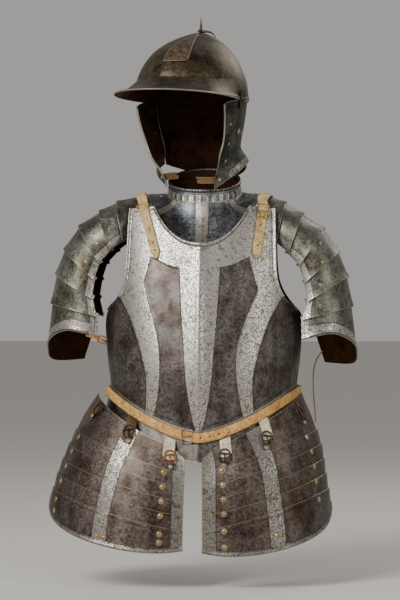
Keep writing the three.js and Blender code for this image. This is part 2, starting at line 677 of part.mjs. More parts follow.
// Joins closed pieces into one solid.
function joined(pieces) {
  const solids = pieces.map((piece) => {
    piece.deleteAttribute('normal');
    piece.deleteAttribute('uv');
    const merged = mergeVertices(piece, 1e-4);
    return new wasm.Manifold(new wasm.Mesh({
      numProp: 3,
      vertProperties: new Float32Array(merged.attributes.position.array),
      triVerts: new Uint32Array(merged.index.array),
    }));
  });
  const mesh = solids.reduce((sum, next) => sum.add(next)).getMesh();
  const geometry = new THREE.BufferGeometry();
  geometry.setAttribute('position', new THREE.BufferAttribute(mesh.vertProperties, 3));
  geometry.setIndex(new THREE.BufferAttribute(mesh.triVerts, 1));
  geometry.computeVertexNormals();
  return geometry;
}

const [hingeFrom, hingeTo] = [hinge.y - hinge.width / 2, hinge.y + hinge.width / 2];
const knuckleGap = 0.4;
const middleFrom = hinge.y - hinge.knuckle / 2;
const middleTo = hinge.y + hinge.knuckle / 2;
const skullLeaf = joined([
  box([102.9, 102.9 + hinge.leaf], [hingeFrom, hingeTo], [189.2, 203]),
  ...[[hingeFrom, middleFrom - knuckleGap], [middleTo + knuckleGap, hingeTo]].flatMap(([from, to]) => [
    box([102.9, 102.9 + hinge.leaf], [from, to], [hinge.z, 190]),
    knuckle(from, to),
  ]),
]);
const cheekLeaf = joined([
  box([101.9, 101.9 + hinge.leaf], [hingeFrom, hingeTo], [168, 184]),
  box([102.4, 105.6], [middleFrom, middleTo], [183, 185.4]),
  knuckle(middleFrom, middleTo),
]);

for (const side of sides) {
  add(`cheek_${side.name}`, plate({
    point: (u, v) => cheekPoint(side.sign, u, v),
    across: steps(0, 1, 9),
    along: [0, 0.15, 0.3, 0.45, 0.6, 0.73, 0.83, 0.92, 1],
    thickness: plateSteel,
    inside: new THREE.Vector3(0, 20, 110),
  }), brownSteel, helmet);

  // The left side is the mirror of the right, so its hinge is turned half round about the upright.
  const about = new THREE.Group();
  about.rotation.z = side.sign > 0 ? 0 : Math.PI;
  about.position.y = side.sign > 0 ? 0 : 2 * hinge.y;
  helmet.add(about);
  add(`hinge_skull_${side.name}`, skullLeaf.clone(), brownSteel, about);
  add(`hinge_cheek_${side.name}`, cheekLeaf.clone(), brownSteel, about);

  add(`chin_tab_${side.name}`, plate({
    point: (u, v) => {
      const z = chinTab[side.name] + u * chinTab.width;
      return facePoint(side.sign, mix(chinTab.from, chinTab.to, v), z, 0, 0, chinTab[`${side.name}Inset`]);
    },
    across: [-0.5, 0.5],
    along: steps(0, 1, 8),
    thickness: strapLeather,
    inside: new THREE.Vector3(0, 300, 40),
  }), tanLeather, helmet);
}

// Nape plate: closes the helmet behind, from one cheek piece to the other.
const nape = { from: 111.6, foot: 46, flare: 12 };
add('helmet_nape', plate({
  point: (turn, v) => {
    const foot = mix(cheek.rearFoot, nape.foot, Math.sin(radians(turn - 90)) ** 2);
    return facePoint(1, turn, mix(cheek.top, foot, v), foot, nape.flare);
  },
  across: steps(nape.from, 360 - nape.from, 14),
  along: [0, 0.3, 0.55, 0.75, 0.9, 1],
  thickness: plateSteel,
  inside: new THREE.Vector3(0, 20, 110),
}), brownSteel, helmet);

// A buckle at the front end of the left arm's last lame.
const buckle = { width: 22, height: 13, bar: 3, thick: 3, lean: -24, gap: 3.2 };
const buckleShape = new THREE.Shape([
  new THREE.Vector2(0, -buckle.height / 2), new THREE.Vector2(buckle.width, -buckle.height / 2),
  new THREE.Vector2(buckle.width, buckle.height / 2), new THREE.Vector2(0, buckle.height / 2),
]);
buckleShape.holes.push(new THREE.Path([
  new THREE.Vector2(buckle.width * 0.45, -buckle.height / 2 + buckle.bar),
  new THREE.Vector2(buckle.width * 0.45, buckle.height / 2 - buckle.bar),
  new THREE.Vector2(buckle.width - buckle.bar, buckle.height / 2 - buckle.bar),
  new THREE.Vector2(buckle.width - buckle.bar, -buckle.height / 2 + buckle.bar),
]));
const cuffFront = armPoint(sides[0], 6.64, 4 - lameOpening.bottom, buckle.gap);
const buckleMesh = add('arm_buckle', new THREE.ExtrudeGeometry(buckleShape,
  { depth: buckle.thick, bevelEnabled: false }), rustyIron);
buckleMesh.rotation.set(Math.PI / 2, radians(-buckle.lean), 0, 'XYZ');
buckleMesh.position.copy(cuffFront);
buckleMesh.position.z -= 4;

// A leather strap hangs from the rear end of the right arm's last lame.
const armStrap = { width: 16, thick: 2.5 };
const armStrapRoute = [
  { x: 222.4, down: 286 }, { x: 212, down: 301 }, { x: 205.5, down: 322 }, { x: 204, down: 350 },
  { x: 205.5, down: 380 }, { x: 207.5, down: 402 }, { x: 209, down: 424 },
];
const armStrapMiddle = 62.3;
add('arm_strap', plate({
  point: (u, v) => {
    const stop = armStrapRoute[v];
    return new THREE.Vector3(stop.x, armStrapMiddle + u * armStrap.width, -stop.down);
  },
  across: [-0.5, 0.5],
  along: armStrapRoute.map((_, i) => i),
  thickness: armStrap.thick,
  inside: new THREE.Vector3(400, armStrapMiddle, -350),
}), tanLeather);

export default corselet;
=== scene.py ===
import math
import bpy
import numpy as np
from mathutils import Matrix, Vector


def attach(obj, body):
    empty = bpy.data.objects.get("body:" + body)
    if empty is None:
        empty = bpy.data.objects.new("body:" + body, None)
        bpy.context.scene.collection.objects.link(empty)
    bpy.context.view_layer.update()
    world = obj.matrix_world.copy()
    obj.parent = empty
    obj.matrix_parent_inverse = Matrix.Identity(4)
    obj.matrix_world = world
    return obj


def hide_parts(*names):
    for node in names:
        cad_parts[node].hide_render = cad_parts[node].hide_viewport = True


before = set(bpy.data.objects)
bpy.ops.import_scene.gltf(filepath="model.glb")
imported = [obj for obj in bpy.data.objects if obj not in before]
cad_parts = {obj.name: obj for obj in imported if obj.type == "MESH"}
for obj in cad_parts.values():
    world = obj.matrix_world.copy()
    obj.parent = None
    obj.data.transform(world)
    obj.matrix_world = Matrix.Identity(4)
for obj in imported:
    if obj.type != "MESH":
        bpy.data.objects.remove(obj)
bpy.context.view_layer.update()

# The camera stands a little to the right of the front, level with the middle of the armour and far
# enough away to flatten it, as a long lens does.
camera_turn = math.radians(4)
camera_far = 5.2
camera_aim = Vector((-0.0082, 0, -0.19))
seen_height = 1.14
sensor = 36
camera_data = bpy.data.cameras.new("camera")
camera_data.sensor_fit = "VERTICAL"
camera_data.sensor_height = sensor
camera_data.lens = sensor * camera_far / seen_height
camera_data.clip_end = 50
camera = bpy.data.objects.new("camera", camera_data)
camera.location = camera_aim + Vector((math.sin(camera_turn), -math.cos(camera_turn), 0)) * camera_far
camera.rotation_euler = (math.pi / 2, 0, camera_turn)
bpy.context.collection.objects.link(camera)
bpy.context.scene.camera = camera


# Breastplate: one hammered steel sheet with a keel down the middle, its neck and arm edges rolled over
# a wire. The bands were ground bright and stand a little proud of the dark, oxidised fields.
def hex_colour(code):
    """An sRGB hex colour as linear red, green, blue and alpha."""
    parts = [int(code[i:i + 2], 16) / 255 for i in (1, 3, 5)]
    return tuple(p / 12.92 if p <= 0.04045 else ((p + 0.055) / 1.055) ** 2.4 for p in parts) + (1,)


def table(columns, *rows):
    """A short table with named columns."""
    return dict(zip(columns.split(), np.array(rows, float).T))


def read(rows, key, at, column):
    """The value of a column between its rows, as a smooth curve."""
    k, c = rows[key], rows[column]
    at = np.clip(at, k[0], k[-1])
    slope = np.empty_like(c)
    slope[1:-1] = (c[2:] - c[:-2]) / (k[2:] - k[:-2])
    slope[0] = (c[1] - c[0]) / (k[1] - k[0])
    slope[-1] = (c[-1] - c[-2]) / (k[-1] - k[-2])
    i = np.clip(np.searchsorted(k, at, side="right") - 1, 0, len(k) - 2)
    span = k[i + 1] - k[i]
    t = (at - k[i]) / span
    a, b = c[i], c[i + 1]
    rise, fall = slope[i] * span, slope[i + 1] * span
    return a + t * (rise + t * (3 * (b - a) - 2 * rise - fall + t * (2 * (a - b) + rise + fall)))


def read_straight(rows, place, column):
    """The same between straight lines, where the rows are numbered 0, 1, 2."""
    c = rows[column]
    row = np.clip(np.floor(place).astype(int), 0, len(c) - 2)
    return c[row] + (c[row + 1] - c[row]) * (place - row)


def mix(a, b, share):
    return a + (b - a) * share


def ease(low, high, at):
    """0 below low and 1 above high, with a smooth rise."""
    t = np.clip((at - low) / (high - low), 0, 1)
    return t * t * (3 - 2 * t)


def unit(vectors):
    return vectors / np.maximum(np.linalg.norm(vectors, axis=-1, keepdims=True), 1e-9)


def facing_out(grid, inside, around):
    """The directions out of a grid of points, away from a point inside the hollow."""
    if around:
        across = np.roll(grid, -1, 1) - np.roll(grid, 1, 1)
    else:
        across = np.gradient(grid, axis=1)
    normal = unit(np.cross(across, np.gradient(grid, axis=0)))
    middle = (grid.shape[0] // 2, grid.shape[1] // 2)
    if np.dot(normal[middle], grid[middle] - np.array(inside)) < 0:
        normal = -normal
    flat = np.linalg.norm(normal, axis=-1).max(axis=1) < 0.5
    for row in np.flatnonzero(flat):
        near = 1 if row == 0 else row - 1
        normal[row] = unit(normal[near].mean(axis=0))
    return normal


def edge_distance(grid, around, closed_top):
    """How far each point is from the plate's nearest edge, in mm along the plate."""
    def run(axis):
        step = np.linalg.norm(np.diff(grid, axis=axis), axis=-1)
        start = np.zeros_like(np.take(step, [0], axis=axis))
        ahead = np.concatenate([start, np.cumsum(step, axis=axis)], axis=axis)
        return ahead, np.take(ahead, [-1], axis=axis) - ahead
    down, up = run(0)
    near = up if closed_top else np.minimum(down, up)
    if not around:
        near = np.minimum(near, np.minimum(*run(1)))
    return near


mm = 0.001


def wall_mesh(name, outer, inner, around, marks):
    """A closed wall between two grids of points in mm, with rounded rims, as a mesh object."""
    rows, columns = outer.shape[:2]
    count = rows * columns
    outer_at = np.arange(count).reshape(rows, columns)
    inner_at = outer_at + count
    faces = []
    last = columns if around else columns - 1
    c = np.arange(last)
    n = (c + 1) % columns
    for at, flip in ((outer_at, False), (inner_at, True)):
        quads = np.stack([at[:-1][:, c], at[:-1][:, n], at[1:][:, n], at[1:][:, c]], -1).reshape(-1, 4)
        faces.append(quads[:, ::-1] if flip else quads)
    points = [outer.reshape(-1, 3), inner.reshape(-1, 3)]
    values = {key: [value.ravel(), value.ravel()] for key, value in marks.items()}
    values["inside"] = [np.zeros(count), np.ones(count)]
    total = 2 * count

    def rim(line_out, line_in, next_out, loop):
        """A bull-nosed rim between the outer and inner edge lines."""
        nonlocal total
        flat_out, flat_in = points[0][line_out], points[1][line_in - count]
        away = unit(flat_out - points[0][next_out])
        thick = np.linalg.norm(flat_out - flat_in, axis=-1, keepdims=True)
        middle = np.arange(len(line_out)) + total
        total += len(line_out)
        points.append((flat_out + flat_in) / 2 + away * thick * 0.32)
        for key in values:
            values[key].append(values[key][0][line_out])
        ends = np.arange(len(line_out) if loop else len(line_out) - 1)
        after = (ends + 1) % len(line_out)
        for a, b in ((line_out, middle), (middle, line_in)):
            faces.append(np.stack([a[ends], b[ends], b[after], a[after]], -1))
        return middle

    rims = []
    if np.linalg.norm(outer[0] - outer[0].mean(axis=0), axis=-1).max() > 0.01:
        rims.append(rim(outer_at[0], inner_at[0], outer_at[1], around))
    rims.append(rim(outer_at[-1][::-1], inner_at[-1][::-1], outer_at[-2][::-1], around))
    if not around:
        left = rim(outer_at[::-1, 0], inner_at[::-1, 0], outer_at[::-1, 1], False)
        right = rim(outer_at[:, -1], inner_at[:, -1], outer_at[:, -2], False)
        corners = [(rims[0][0], left[-1], (0, 0)), (right[0], rims[0][-1], (0, -1)),
                   (rims[1][0], right[-1], (-1, -1)), (left[0], rims[1][-1], (-1, 0))]
        for a, b, (r, k) in corners:
            faces.append(np.array([[outer_at[r, k], b, a, a]]))
            faces.append(np.array([[inner_at[r, k], a, b, b]]))
    quads = np.concatenate(faces)
    polygons = [tuple(q[:3]) if q[2] == q[3] else tuple(q) for q in quads.tolist()]
    everything = np.concatenate(points)
    centre = points[0].mean(axis=0)
    a, b, d = (everything[quads[:, i]] - centre for i in (0, 1, 2))
    if np.einsum("ij,ij->i", a, np.cross(b, d)).sum() < 0:
        polygons = [p[::-1] for p in polygons]
    mesh = bpy.data.meshes.new(name)
    mesh.from_pydata((everything * mm).tolist(), [], polygons)
    for key, parts in values.items():
        layer = mesh.attributes.new(key, "FLOAT", "POINT")
        layer.data.foreach_set("value", np.concatenate(parts).astype(np.float32))
    mesh.shade_smooth()
    mesh.set_sharp_from_angle(angle=math.radians(50))
    return mesh


def piece(name, mesh, material, body, slot, *nodes):
    """Puts a mesh in the scene as a piece that rides on a body and stands for CAD nodes."""
    thing = bpy.data.objects.new(name, mesh)
    bpy.context.collection.objects.link(thing)
    thing.data.materials.clear()
    thing.data.materials.append(material)
    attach(thing, body)
    if nodes:
        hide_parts(*nodes)
    return thing


def plate_mesh(name, point, across, along, thick, inside, around=False, on_top=False, lift=None, dark=None,
               groove=None):
    """A plate from point(u, v). lift raises the outer face alone, dark is how far inside a dark field a
    point lies in mm, and groove is how far in from the edge a rolled border ends."""
    u, v = np.meshgrid(across, along)
    grid = point(u, v)
    normal = facing_out(grid, inside, around)
    base = grid + normal * thick if on_top else grid
    raised = base + normal * (lift(u, v, grid) if lift else np.zeros_like(u))[..., None]
    under = grid if on_top else grid - normal * thick
    closed = np.linalg.norm(grid[0] - grid[0].mean(axis=0), axis=-1).max() < 0.01
    marks = {"edge": edge_distance(grid, around, closed),
             "dark": dark(u, v, grid) if dark else np.full_like(u, 20.0)}
    # groove holds the distance from that crease, where the steel gets a painted line of shade.
    marks["groove"] = np.abs(marks["edge"] - groove) if groove else np.full_like(u, 9.0)
    return wall_mesh(name, raised, under, around, marks)


def near_ends(count, fine=0.9, ends=4, length=400):
    """Values from 0 to 1, closer together at both ends, for a plate of that length in mm."""
    first = [i * fine / length for i in range(ends)]
    middle = np.linspace(ends * fine / length, 1 - ends * fine / length, count)
    return np.array(first + list(middle) + [1 - f for f in reversed(first)])


def add(tree, kind, settings=None, links=None):
    """Adds a node with its settings and the outputs that feed its inputs."""
    new = tree.nodes.new(kind)
    for key, value in (settings or {}).items():
        if key.startswith("."):
            setattr(new, key[1:], value)
        else:
            new.inputs[int(key) if key.isdigit() else key].default_value = value
    for key, output in (links or {}).items():
        tree.links.new(output, new.inputs[int(key) if key.isdigit() else key])
    return new


def ramp(tree, factor, *stops):
    """A colour ramp with stops of position and hex colour."""
    new = tree.nodes.new("ShaderNodeValToRGB")
    tree.links.new(factor, new.inputs[0])
    elements = new.color_ramp.elements
    while len(elements) < len(stops):
        elements.new(0.5)
    for element, (place, code) in zip(elements, stops):
        element.position = place
        element.color = hex_colour(code)
    return new.outputs["Color"]


def new_material(name, metallic, specular=0.5):
    material = bpy.data.materials.new(name)
    material.use_nodes = True
    tree = material.node_tree
    shader = tree.nodes["Principled BSDF"]
    shader.inputs["Metallic"].default_value = metallic
    shader.inputs["Specular IOR Level"].default_value = specular
    return material, tree, shader


def to_range(tree, value, low, high, to_low, to_high):
    """A value mapped from one range to another, with a smooth step."""
    settings = {"From Min": low, "From Max": high, "To Min": to_low, "To Max": to_high,
                ".interpolation_type": "SMOOTHSTEP"}
    return add(tree, "ShaderNodeMapRange", settings, {"Value": value}).outputs[0]


# Oxidised plain-carbon steel, hammered, ground and left to darken: the fields are brown-grey with blooms
# of rust, and the ground bands are pale, pitted and salt-and-pepper grey. A thin pale line along the edges is
# partly real wear and partly a painted highlight where the edges catch the light.
# The patterns' sizes are in mm, and the pits are drawn coarser than real ones so that they show.
steel_pattern = {"bloom": 50, "grain": 5, "pits": 2.8, "spots": 9, "streak": 25, "hammer": 30}


def black_and_white_steel(name, field, bright, wear=0.8, bands=1.0, worn_lit_edge_to=1.6, worn_lit_edge_colour="#B9B2A6"):
    material, tree, shader = new_material(name, 1.0)
    place = add(tree, "ShaderNodeTexCoord").outputs["Object"]
    bloom = add(tree, "ShaderNodeTexNoise", {"Scale": 1 / (steel_pattern["bloom"] * mm), "Detail": 6.0,
                                              "Roughness": 0.65},
                {"Vector": place}).outputs[0]
    grain = add(tree, "ShaderNodeTexNoise", {"Scale": 1 / (steel_pattern["grain"] * mm), "Detail": 4.0,
                                              "Roughness": 0.7},
                {"Vector": place}).outputs[0]
    pits = add(tree, "ShaderNodeTexNoise", {"Scale": 1 / (steel_pattern["pits"] * mm), "Detail": 4.0,
                                             "Roughness": 0.6},
               {"Vector": place}).outputs[0]
    spots = add(tree, "ShaderNodeTexNoise", {"Scale": 1 / (steel_pattern["spots"] * mm), "Detail": 2.0},
                {"Vector": place}).outputs[0]
    tall = add(tree, "ShaderNodeMapping", {"Scale": (1, 1, 0.2)}, {"Vector": place}).outputs[0]
    streak = add(tree, "ShaderNodeTexNoise", {"Scale": 1 / (steel_pattern["streak"] * mm), "Detail": 4.0},
                 {"Vector": tall}).outputs[0]
    base = ramp(tree, bloom, *field)
    rub = ramp(tree, grain, (0.36, "#8A8580"), (0.6, "#FFFFFF"))
    base = add(tree, "ShaderNodeMix", {".data_type": "RGBA", ".blend_type": "MULTIPLY", "Factor": 0.8},
               {"6": base, "7": rub}).outputs[2]
    fade = ramp(tree, streak, (0.38, "#9A9086"), (0.6, "#FFFFFF"))
    base = add(tree, "ShaderNodeMix", {".data_type": "RGBA", ".blend_type": "MULTIPLY", "Factor": 0.5},
               {"6": base, "7": fade}).outputs[2]
    polish = ramp(tree, pits, *bright)
    spot = ramp(tree, spots, (0.56, "#FFFFFF"), (0.66, "#7F766C"))
    polish = add(tree, "ShaderNodeMix", {".data_type": "RGBA", ".blend_type": "MULTIPLY", "Factor": 0.55},
                 {"6": polish, "7": spot}).outputs[2]
    edge = add(tree, "ShaderNodeAttribute", {".attribute_name": "edge"}).outputs["Fac"]
    dark = add(tree, "ShaderNodeAttribute", {".attribute_name": "dark"}).outputs["Fac"]
    groove = add(tree, "ShaderNodeAttribute", {".attribute_name": "groove"}).outputs["Fac"]
    inside = add(tree, "ShaderNodeAttribute", {".attribute_name": "inside"}).outputs["Fac"]
    wobble = to_range(tree, pits, 0.3, 0.7, -0.6, 0.6)
    ragged = add(tree, "ShaderNodeMath", {".operation": "ADD"}, {"0": dark, "1": wobble}).outputs[0]
    is_bright = to_range(tree, ragged, -0.8, 0.8, bands, 0.0)
    both = add(tree, "ShaderNodeMix", {".data_type": "RGBA"},
               {"0": is_bright, "6": base, "7": polish}).outputs[2]
    # Pale edge line: partly rubbed wear, partly a painted highlight where the edges catch the light.
    worn = to_range(tree, edge, 0.2, worn_lit_edge_to, wear, 0.0)
    both = add(tree, "ShaderNodeMix", {".data_type": "RGBA", "7": hex_colour(worn_lit_edge_colour)},
               {"0": worn, "6": both}).outputs[2]
    # Painted shade: a dark line along the bright bands' edges and in the groove behind rolled borders.
    band_edge_gap = add(tree, "ShaderNodeMath", {".operation": "ABSOLUTE"}, {"0": dark}).outputs[0]
    near = add(tree, "ShaderNodeMath", {".operation": "MINIMUM"}, {"0": band_edge_gap, "1": groove}).outputs[0]
    line = to_range(tree, near, 0.5, 1.6, 0.6, 0.0)
    both = add(tree, "ShaderNodeMix", {".data_type": "RGBA", "7": hex_colour("#2B2622")},
               {"0": line, "6": both}).outputs[2]
    rust = ramp(tree, bloom, (0.35, "#2E2119"), (0.5, "#5B3E29"), (0.65, "#3B2C22"))
    both = add(tree, "ShaderNodeMix", {".data_type": "RGBA"}, {"0": inside, "6": both, "7": rust}).outputs[2]
    tree.links.new(both, shader.inputs["Base Color"])
    rough = to_range(tree, grain, 0.3, 0.7, 0.4, 0.56)
    rough_bright = to_range(tree, pits, 0.4, 0.6, 0.58, 0.34)
    roughness = add(tree, "ShaderNodeMix", {}, {"0": is_bright, "2": rough, "3": rough_bright}).outputs[0]
    roughness = add(tree, "ShaderNodeMix", {"3": 0.85}, {"0": inside, "2": roughness}).outputs[0]
    tree.links.new(roughness, shader.inputs["Roughness"])
    hammer = add(tree, "ShaderNodeTexNoise", {"Scale": 1 / (steel_pattern["hammer"] * mm), "Detail": 1.0},
                 {"Vector": place}).outputs[0]
    low = add(tree, "ShaderNodeBump", {"Strength": 0.4, "Distance": 1.2 * mm}, {"Height": hammer}).outputs[0]
    fine = add(tree, "ShaderNodeMath", {".operation": "MULTIPLY"}, {"0": pits, "1": is_bright}).outputs[0]
    both_fine = add(tree, "ShaderNodeMath", {".operation": "MULTIPLY_ADD", "1": 0.5},
                    {"0": grain, "2": fine}).outputs[0]
    bump = add(tree, "ShaderNodeBump", {"Strength": 0.5, "Distance": 0.6 * mm},
               {"Height": both_fine, "Normal": low}).outputs[0]
    tree.links.new(bump, shader.inputs["Normal"])
    return material


field_steel = ((0.32, "#4E423B"), (0.45, "#6E655F"), (0.57, "#837E7A"), (0.7, "#64554B"))
bright_steel = ((0.36, "#716B64"), (0.45, "#9B968D"), (0.54, "#BAB5AC"), (0.68, "#D3CFC7"))
dim_steel = ((0.36, "#55504A"), (0.46, "#7C776F"), (0.56, "#98928A"), (0.7, "#AAA59C"))
breast_steel = black_and_white_steel("oxidised_breast_steel", field_steel, bright_steel)
plate_steel = 2.0
squareness = 2.2
body_shape = table("down half front back", (10, 170, 80, 78), (40, 175, 97, 92), (83, 180, 112, 104),
                   (150, 186, 132, 116), (230, 188.5, 148, 114), (300, 184, 158, 100),
                   (350, 178, 160, 92), (437, 172, 150, 92))
keel = table("down height", (60, 4), (200, 9), (437, 10))
keel_width = 15


def body_point(turn, down, facing, inset=0.0):
    """A point of the body's section: turn is 0 in the middle of the front or back and 90 at the side."""
    angle = np.radians(turn)
    power = 2 / squareness
    x = np.sign(turn) * (read(body_shape, "down", down, "half") - inset) * np.abs(np.sin(angle)) ** power
    depth = read(body_shape, "down", down, "front" if facing < 0 else "back") - inset
    y = np.sign(np.cos(angle)) * depth * np.abs(np.cos(angle)) ** power
    crest = read(keel, "down", down, "height") * np.exp(-np.abs(x) / keel_width) if facing < 0 else 0
    return np.stack([x, facing * (y + crest), -down + 0 * x], -1)


def body_at(x, down, facing, inset=0.0):
    """The same point found from its distance from the middle."""
    share = np.minimum(np.abs(x) / (read(body_shape, "down", down, "half") - inset), 1)
    turn = np.degrees(np.arcsin(share ** (squareness / 2)))
    return body_point(np.sign(x) * turn, down, facing, inset)


neck_half = 93
mean_half = 180
neck_dip = {"side": 14, "middle": 83, "power": 2.3}
waist_dip = {"side": 351, "middle": 432, "half": 177, "power": 1.6}
shoulder_fall = 0.09


def breast_top(x):
    far = np.abs(x)
    scoop = mix(neck_dip["middle"], neck_dip["side"], np.minimum(far / neck_half, 1) ** neck_dip["power"])
    return np.where(far > neck_half, neck_dip["side"] + (far - neck_half) * shoulder_fall, scoop)


def waist(x):
    share = np.minimum(np.abs(x) / waist_dip["half"], 1.06)
    return mix(waist_dip["middle"], waist_dip["side"], share ** waist_dip["power"])


breast_edge = table("v turn", (0, 51), (0.2, 48.5), (0.35, 48), (0.43, 51), (0.49, 57.5), (0.555, 70),
                    (0.64, 80), (0.74, 85), (1, 86))


def breast_point(u, v):
    turn = u * read(breast_edge, "v", v, "turn")
    x = mean_half * np.abs(np.sin(np.radians(turn))) ** (2 / squareness)
    return body_point(turn, mix(breast_top(x), waist(x), v), -1)


# Half widths of the bright bands at each depth: the middle band, and the inner and outer edge of the
# curved side bands. The neck band ends where the dark panels begin.
middle_band = table("down half", (129, 38), (218, 33), (284, 28), (349, 23), (412, 12), (436, 5))
side_band = table("down left right outer", (110, 92, 91, 172), (135, 99, 97, 170), (157, 105, 103, 166),
                  (172, 101, 107, 160), (195, 96, 98, 147), (225, 86, 86, 131), (267, 76, 73, 116),
                  (300, 73, 68, 107), (334, 73, 69, 100), (377, 78, 75, 100), (436, 92, 88, 104))
neck_band = table("x down", (30, 131), (50, 128), (65, 123), (78, 116), (92, 110), (110, 104))
recess = 1.1


def breast_dark(u, v, grid):
    x, down = grid[..., 0], -grid[..., 2]
    far = np.abs(x)
    inner = np.where(x < 0, read(side_band, "down", down, "left"), read(side_band, "down", down, "right"))
    panel = np.minimum(far - read(middle_band, "down", down, "half"), inner - far)
    panel = np.minimum(panel, down - read(neck_band, "x", far, "down"))
    return np.maximum(panel, far - read(side_band, "down", down, "outer"))


turned = {"height": 3.8, "width": 8}


def rolled(far):
    """The profile of a rolled edge, far counting from 0 at the edge to 1 where the roll ends."""
    return np.where(far < 1, np.sin(np.pi * np.minimum(0.2 + 0.8 * far, 1)), 0)


def breast_lift(u, v, grid):
    """The rolled edge round the neck and arm openings, and the sunk dark fields."""
    x = grid[..., 0]
    from_neck = v * (waist(x) - breast_top(x)) / turned["width"]
    from_arm = (1 - np.abs(u)) * mean_half / turned["width"]
    neck = np.where(np.abs(x) < neck_half, rolled(from_neck), 0)
    arm = np.where(v < 0.56, rolled(from_arm), 0)
    sunk = recess * ease(-0.6, 1.6, breast_dark(u, v, grid))
    return turned["height"] * np.maximum(neck, arm) - sunk


breast_across = 2 * near_ends(150, 1.1, 8, 360) - 1
piece("breastplate_finished", plate_mesh("breastplate_finished", breast_point, breast_across,
                                         near_ends(170, 1.1, 8, 340), plate_steel, (0, 0, -230),
                                         lift=breast_lift, dark=breast_dark, groove=turned["width"]),
      breast_steel, "armour", "plate_steel", "breastplate")

# Backplate: the plain rear half of the body, dark all over, its sides tucked under the breastplate's.
back_inset = 2.9
back_edge = table("v turn", (0, 51), (0.22, 48), (0.38, 48), (0.47, 54), (0.54, 66), (0.6, 84), (0.68, 96),
                  (1, 98))
back_neck = {"side": 16, "middle": 34, "half": 88}
back_waist = {"side": 356, "middle": 374}


def back_point(u, v):
    turn = u * read(back_edge, "v", v, "turn")
    share = np.abs(np.sin(np.radians(turn))) ** (2 / squareness)
    from_neck = np.minimum(share * mean_half / back_neck["half"], 1)
    top = mix(back_neck["middle"], back_neck["side"], from_neck ** 2)
    down = mix(top, mix(back_waist["middle"], back_waist["side"], share), v)
    return body_point(turn, down, 1, back_inset)


back_steel = black_and_white_steel("oxidised_back_steel", field_steel, bright_steel, 0.5, 0.0)
piece("backplate_finished", plate_mesh("backplate_finished", back_point, 2 * near_ends(80) - 1, near_ends(80),
                                       plate_steel, (0, 0, -230)),
      back_steel, "armour", "plate_steel", "backplate")

# Waist plate: a plain flared strip riveted under the breastplate's lower edge, which carries the belt and
# the thigh plates.
flare = table("drop front waist left right", (0, 0, 0, 0, 10), (22, 3.5, 3, 14, 15.5), (60, 13, 13, 40, 33),
              (110, 26, 30, 65, 51), (170, 37, 45, 89, 61), (230, 44, 60, 105, 71), (290, 48, 70, 114, 79))


def skirt_point(turn, drop, lift, column):
    """A point below the waist: drop is the distance below the breastplate's edge."""
    angle = np.radians(turn)
    share = np.abs(np.sin(angle))
    top = waist(mean_half * share ** (2 / squareness))
    out = mix(read(flare, "drop", drop, "front"), read(flare, "drop", drop, column), share) + lift
    at = body_point(turn, top, -1)
    at[..., 0] += np.sin(angle) * out
    at[..., 1] -= np.cos(angle) * out
    at[..., 2] = -(top + drop)
    return at


lame_steel = 1.5
waist_plate = {"top": 0.5, "middle": 57, "side": 44, "turn": 84}


def waist_plate_point(u, v):
    turn = u * waist_plate["turn"]
    bottom = mix(waist_plate["middle"], waist_plate["side"], np.abs(u))
    return skirt_point(turn, mix(waist_plate["top"], bottom, v), 0, "waist")


piece("waist_plate_finished", plate_mesh("waist_plate_finished", waist_plate_point, 2 * near_ends(110) - 1,
                                         near_ends(14, 0.8, 3, 50), lame_steel, (0, 0, -430)),
      back_steel, "armour", "plate_steel", "waist_plate")

# Gorget: a front and a back plate that stand on the shoulders under the breast and back. Bright ground
# bands run down the middle and slantwise to each side of the dark fields.
collar = {"half": 66, "front": 60, "back": 60, "centre": 10, "rise_front": 16, "rise_back": 62, "lame": 11}
gorget_foot = {"half": 108, "front": 105, "side": -12, "back": 80, "part": 1.6, "clear": 0.8}


def neck_top(turn):
    share = ((1 - np.cos(np.radians(turn))) / 2) ** 1.2
    return mix(collar["rise_front"], collar["rise_back"], share)


def neck_point(turn, height, out):
    angle = np.radians(turn)
    depth = np.where(np.cos(angle) > 0, collar["front"], collar["back"])
    x = (collar["half"] + out) * np.sin(angle)
    y = collar["centre"] - (depth + out) * np.cos(angle)
    return np.stack([x, y, height + 0 * x], -1)


def gorget_point(turn, v):
    angle = np.radians(turn)
    s, c = np.sin(angle), np.cos(angle)
    top = neck_point(turn, neck_top(turn) - 2 * collar["lame"], 4.6)
    down = mix(gorget_foot["side"], np.where(c > 0, gorget_foot["front"], gorget_foot["back"]), c * c)
    inset = plate_steel + gorget_foot["clear"]
    reach = gorget_foot["half"] * s
    front = body_at(reach, np.maximum(down, 10), -1, inset)[..., 1]
    back = body_at(reach, np.maximum(down, 10), 1, inset + back_inset + gorget_foot["clear"])[..., 1]
    end = collar["centre"] - np.sign(c) * gorget_foot["part"]
    foot = mix(end, np.where(c > 0, front, back), 1 - np.abs(s) ** 8)
    spread = v ** 1.7
    x, y = mix(top[..., 0], reach, spread), mix(top[..., 1], foot, spread)
    return np.stack([x, y, mix(top[..., 2], -down, v)], -1)


gorget_band = {"middle": 12.5, "side": 49, "spread": 6, "half": 6.6}


def gorget_dark(turn, v, grid):
    radius = np.hypot(grid[..., 0], grid[..., 1] - collar["centre"])
    off = np.abs((turn + 180) % 360 - 180)
    off = np.minimum(off, 180 - off)
    side = np.radians(np.abs(off - gorget_band["side"] - gorget_band["spread"] * v)) * radius
    middle = np.abs(grid[..., 0]) - gorget_band["middle"]
    return np.minimum(middle, side - gorget_band["half"])


gorget_steel = black_and_white_steel("blue_grey_gorget_steel", (
    (0.32, "#56565A"), (0.45, "#787C80"), (0.57, "#92979B"), (0.7, "#6A645C")), bright_steel)
for name, start, stop in (("front", -88.6, 88.6), ("back", 91.4, 268.6)):
    piece(f"gorget_{name}_finished",
          plate_mesh(f"gorget_{name}_finished", gorget_point, np.linspace(start, stop, 120),
                     np.linspace(0, 1, 46), lame_steel, (0, 0, -60), dark=gorget_dark),
          gorget_steel, "armour", "plate_steel", f"gorget_{name}")

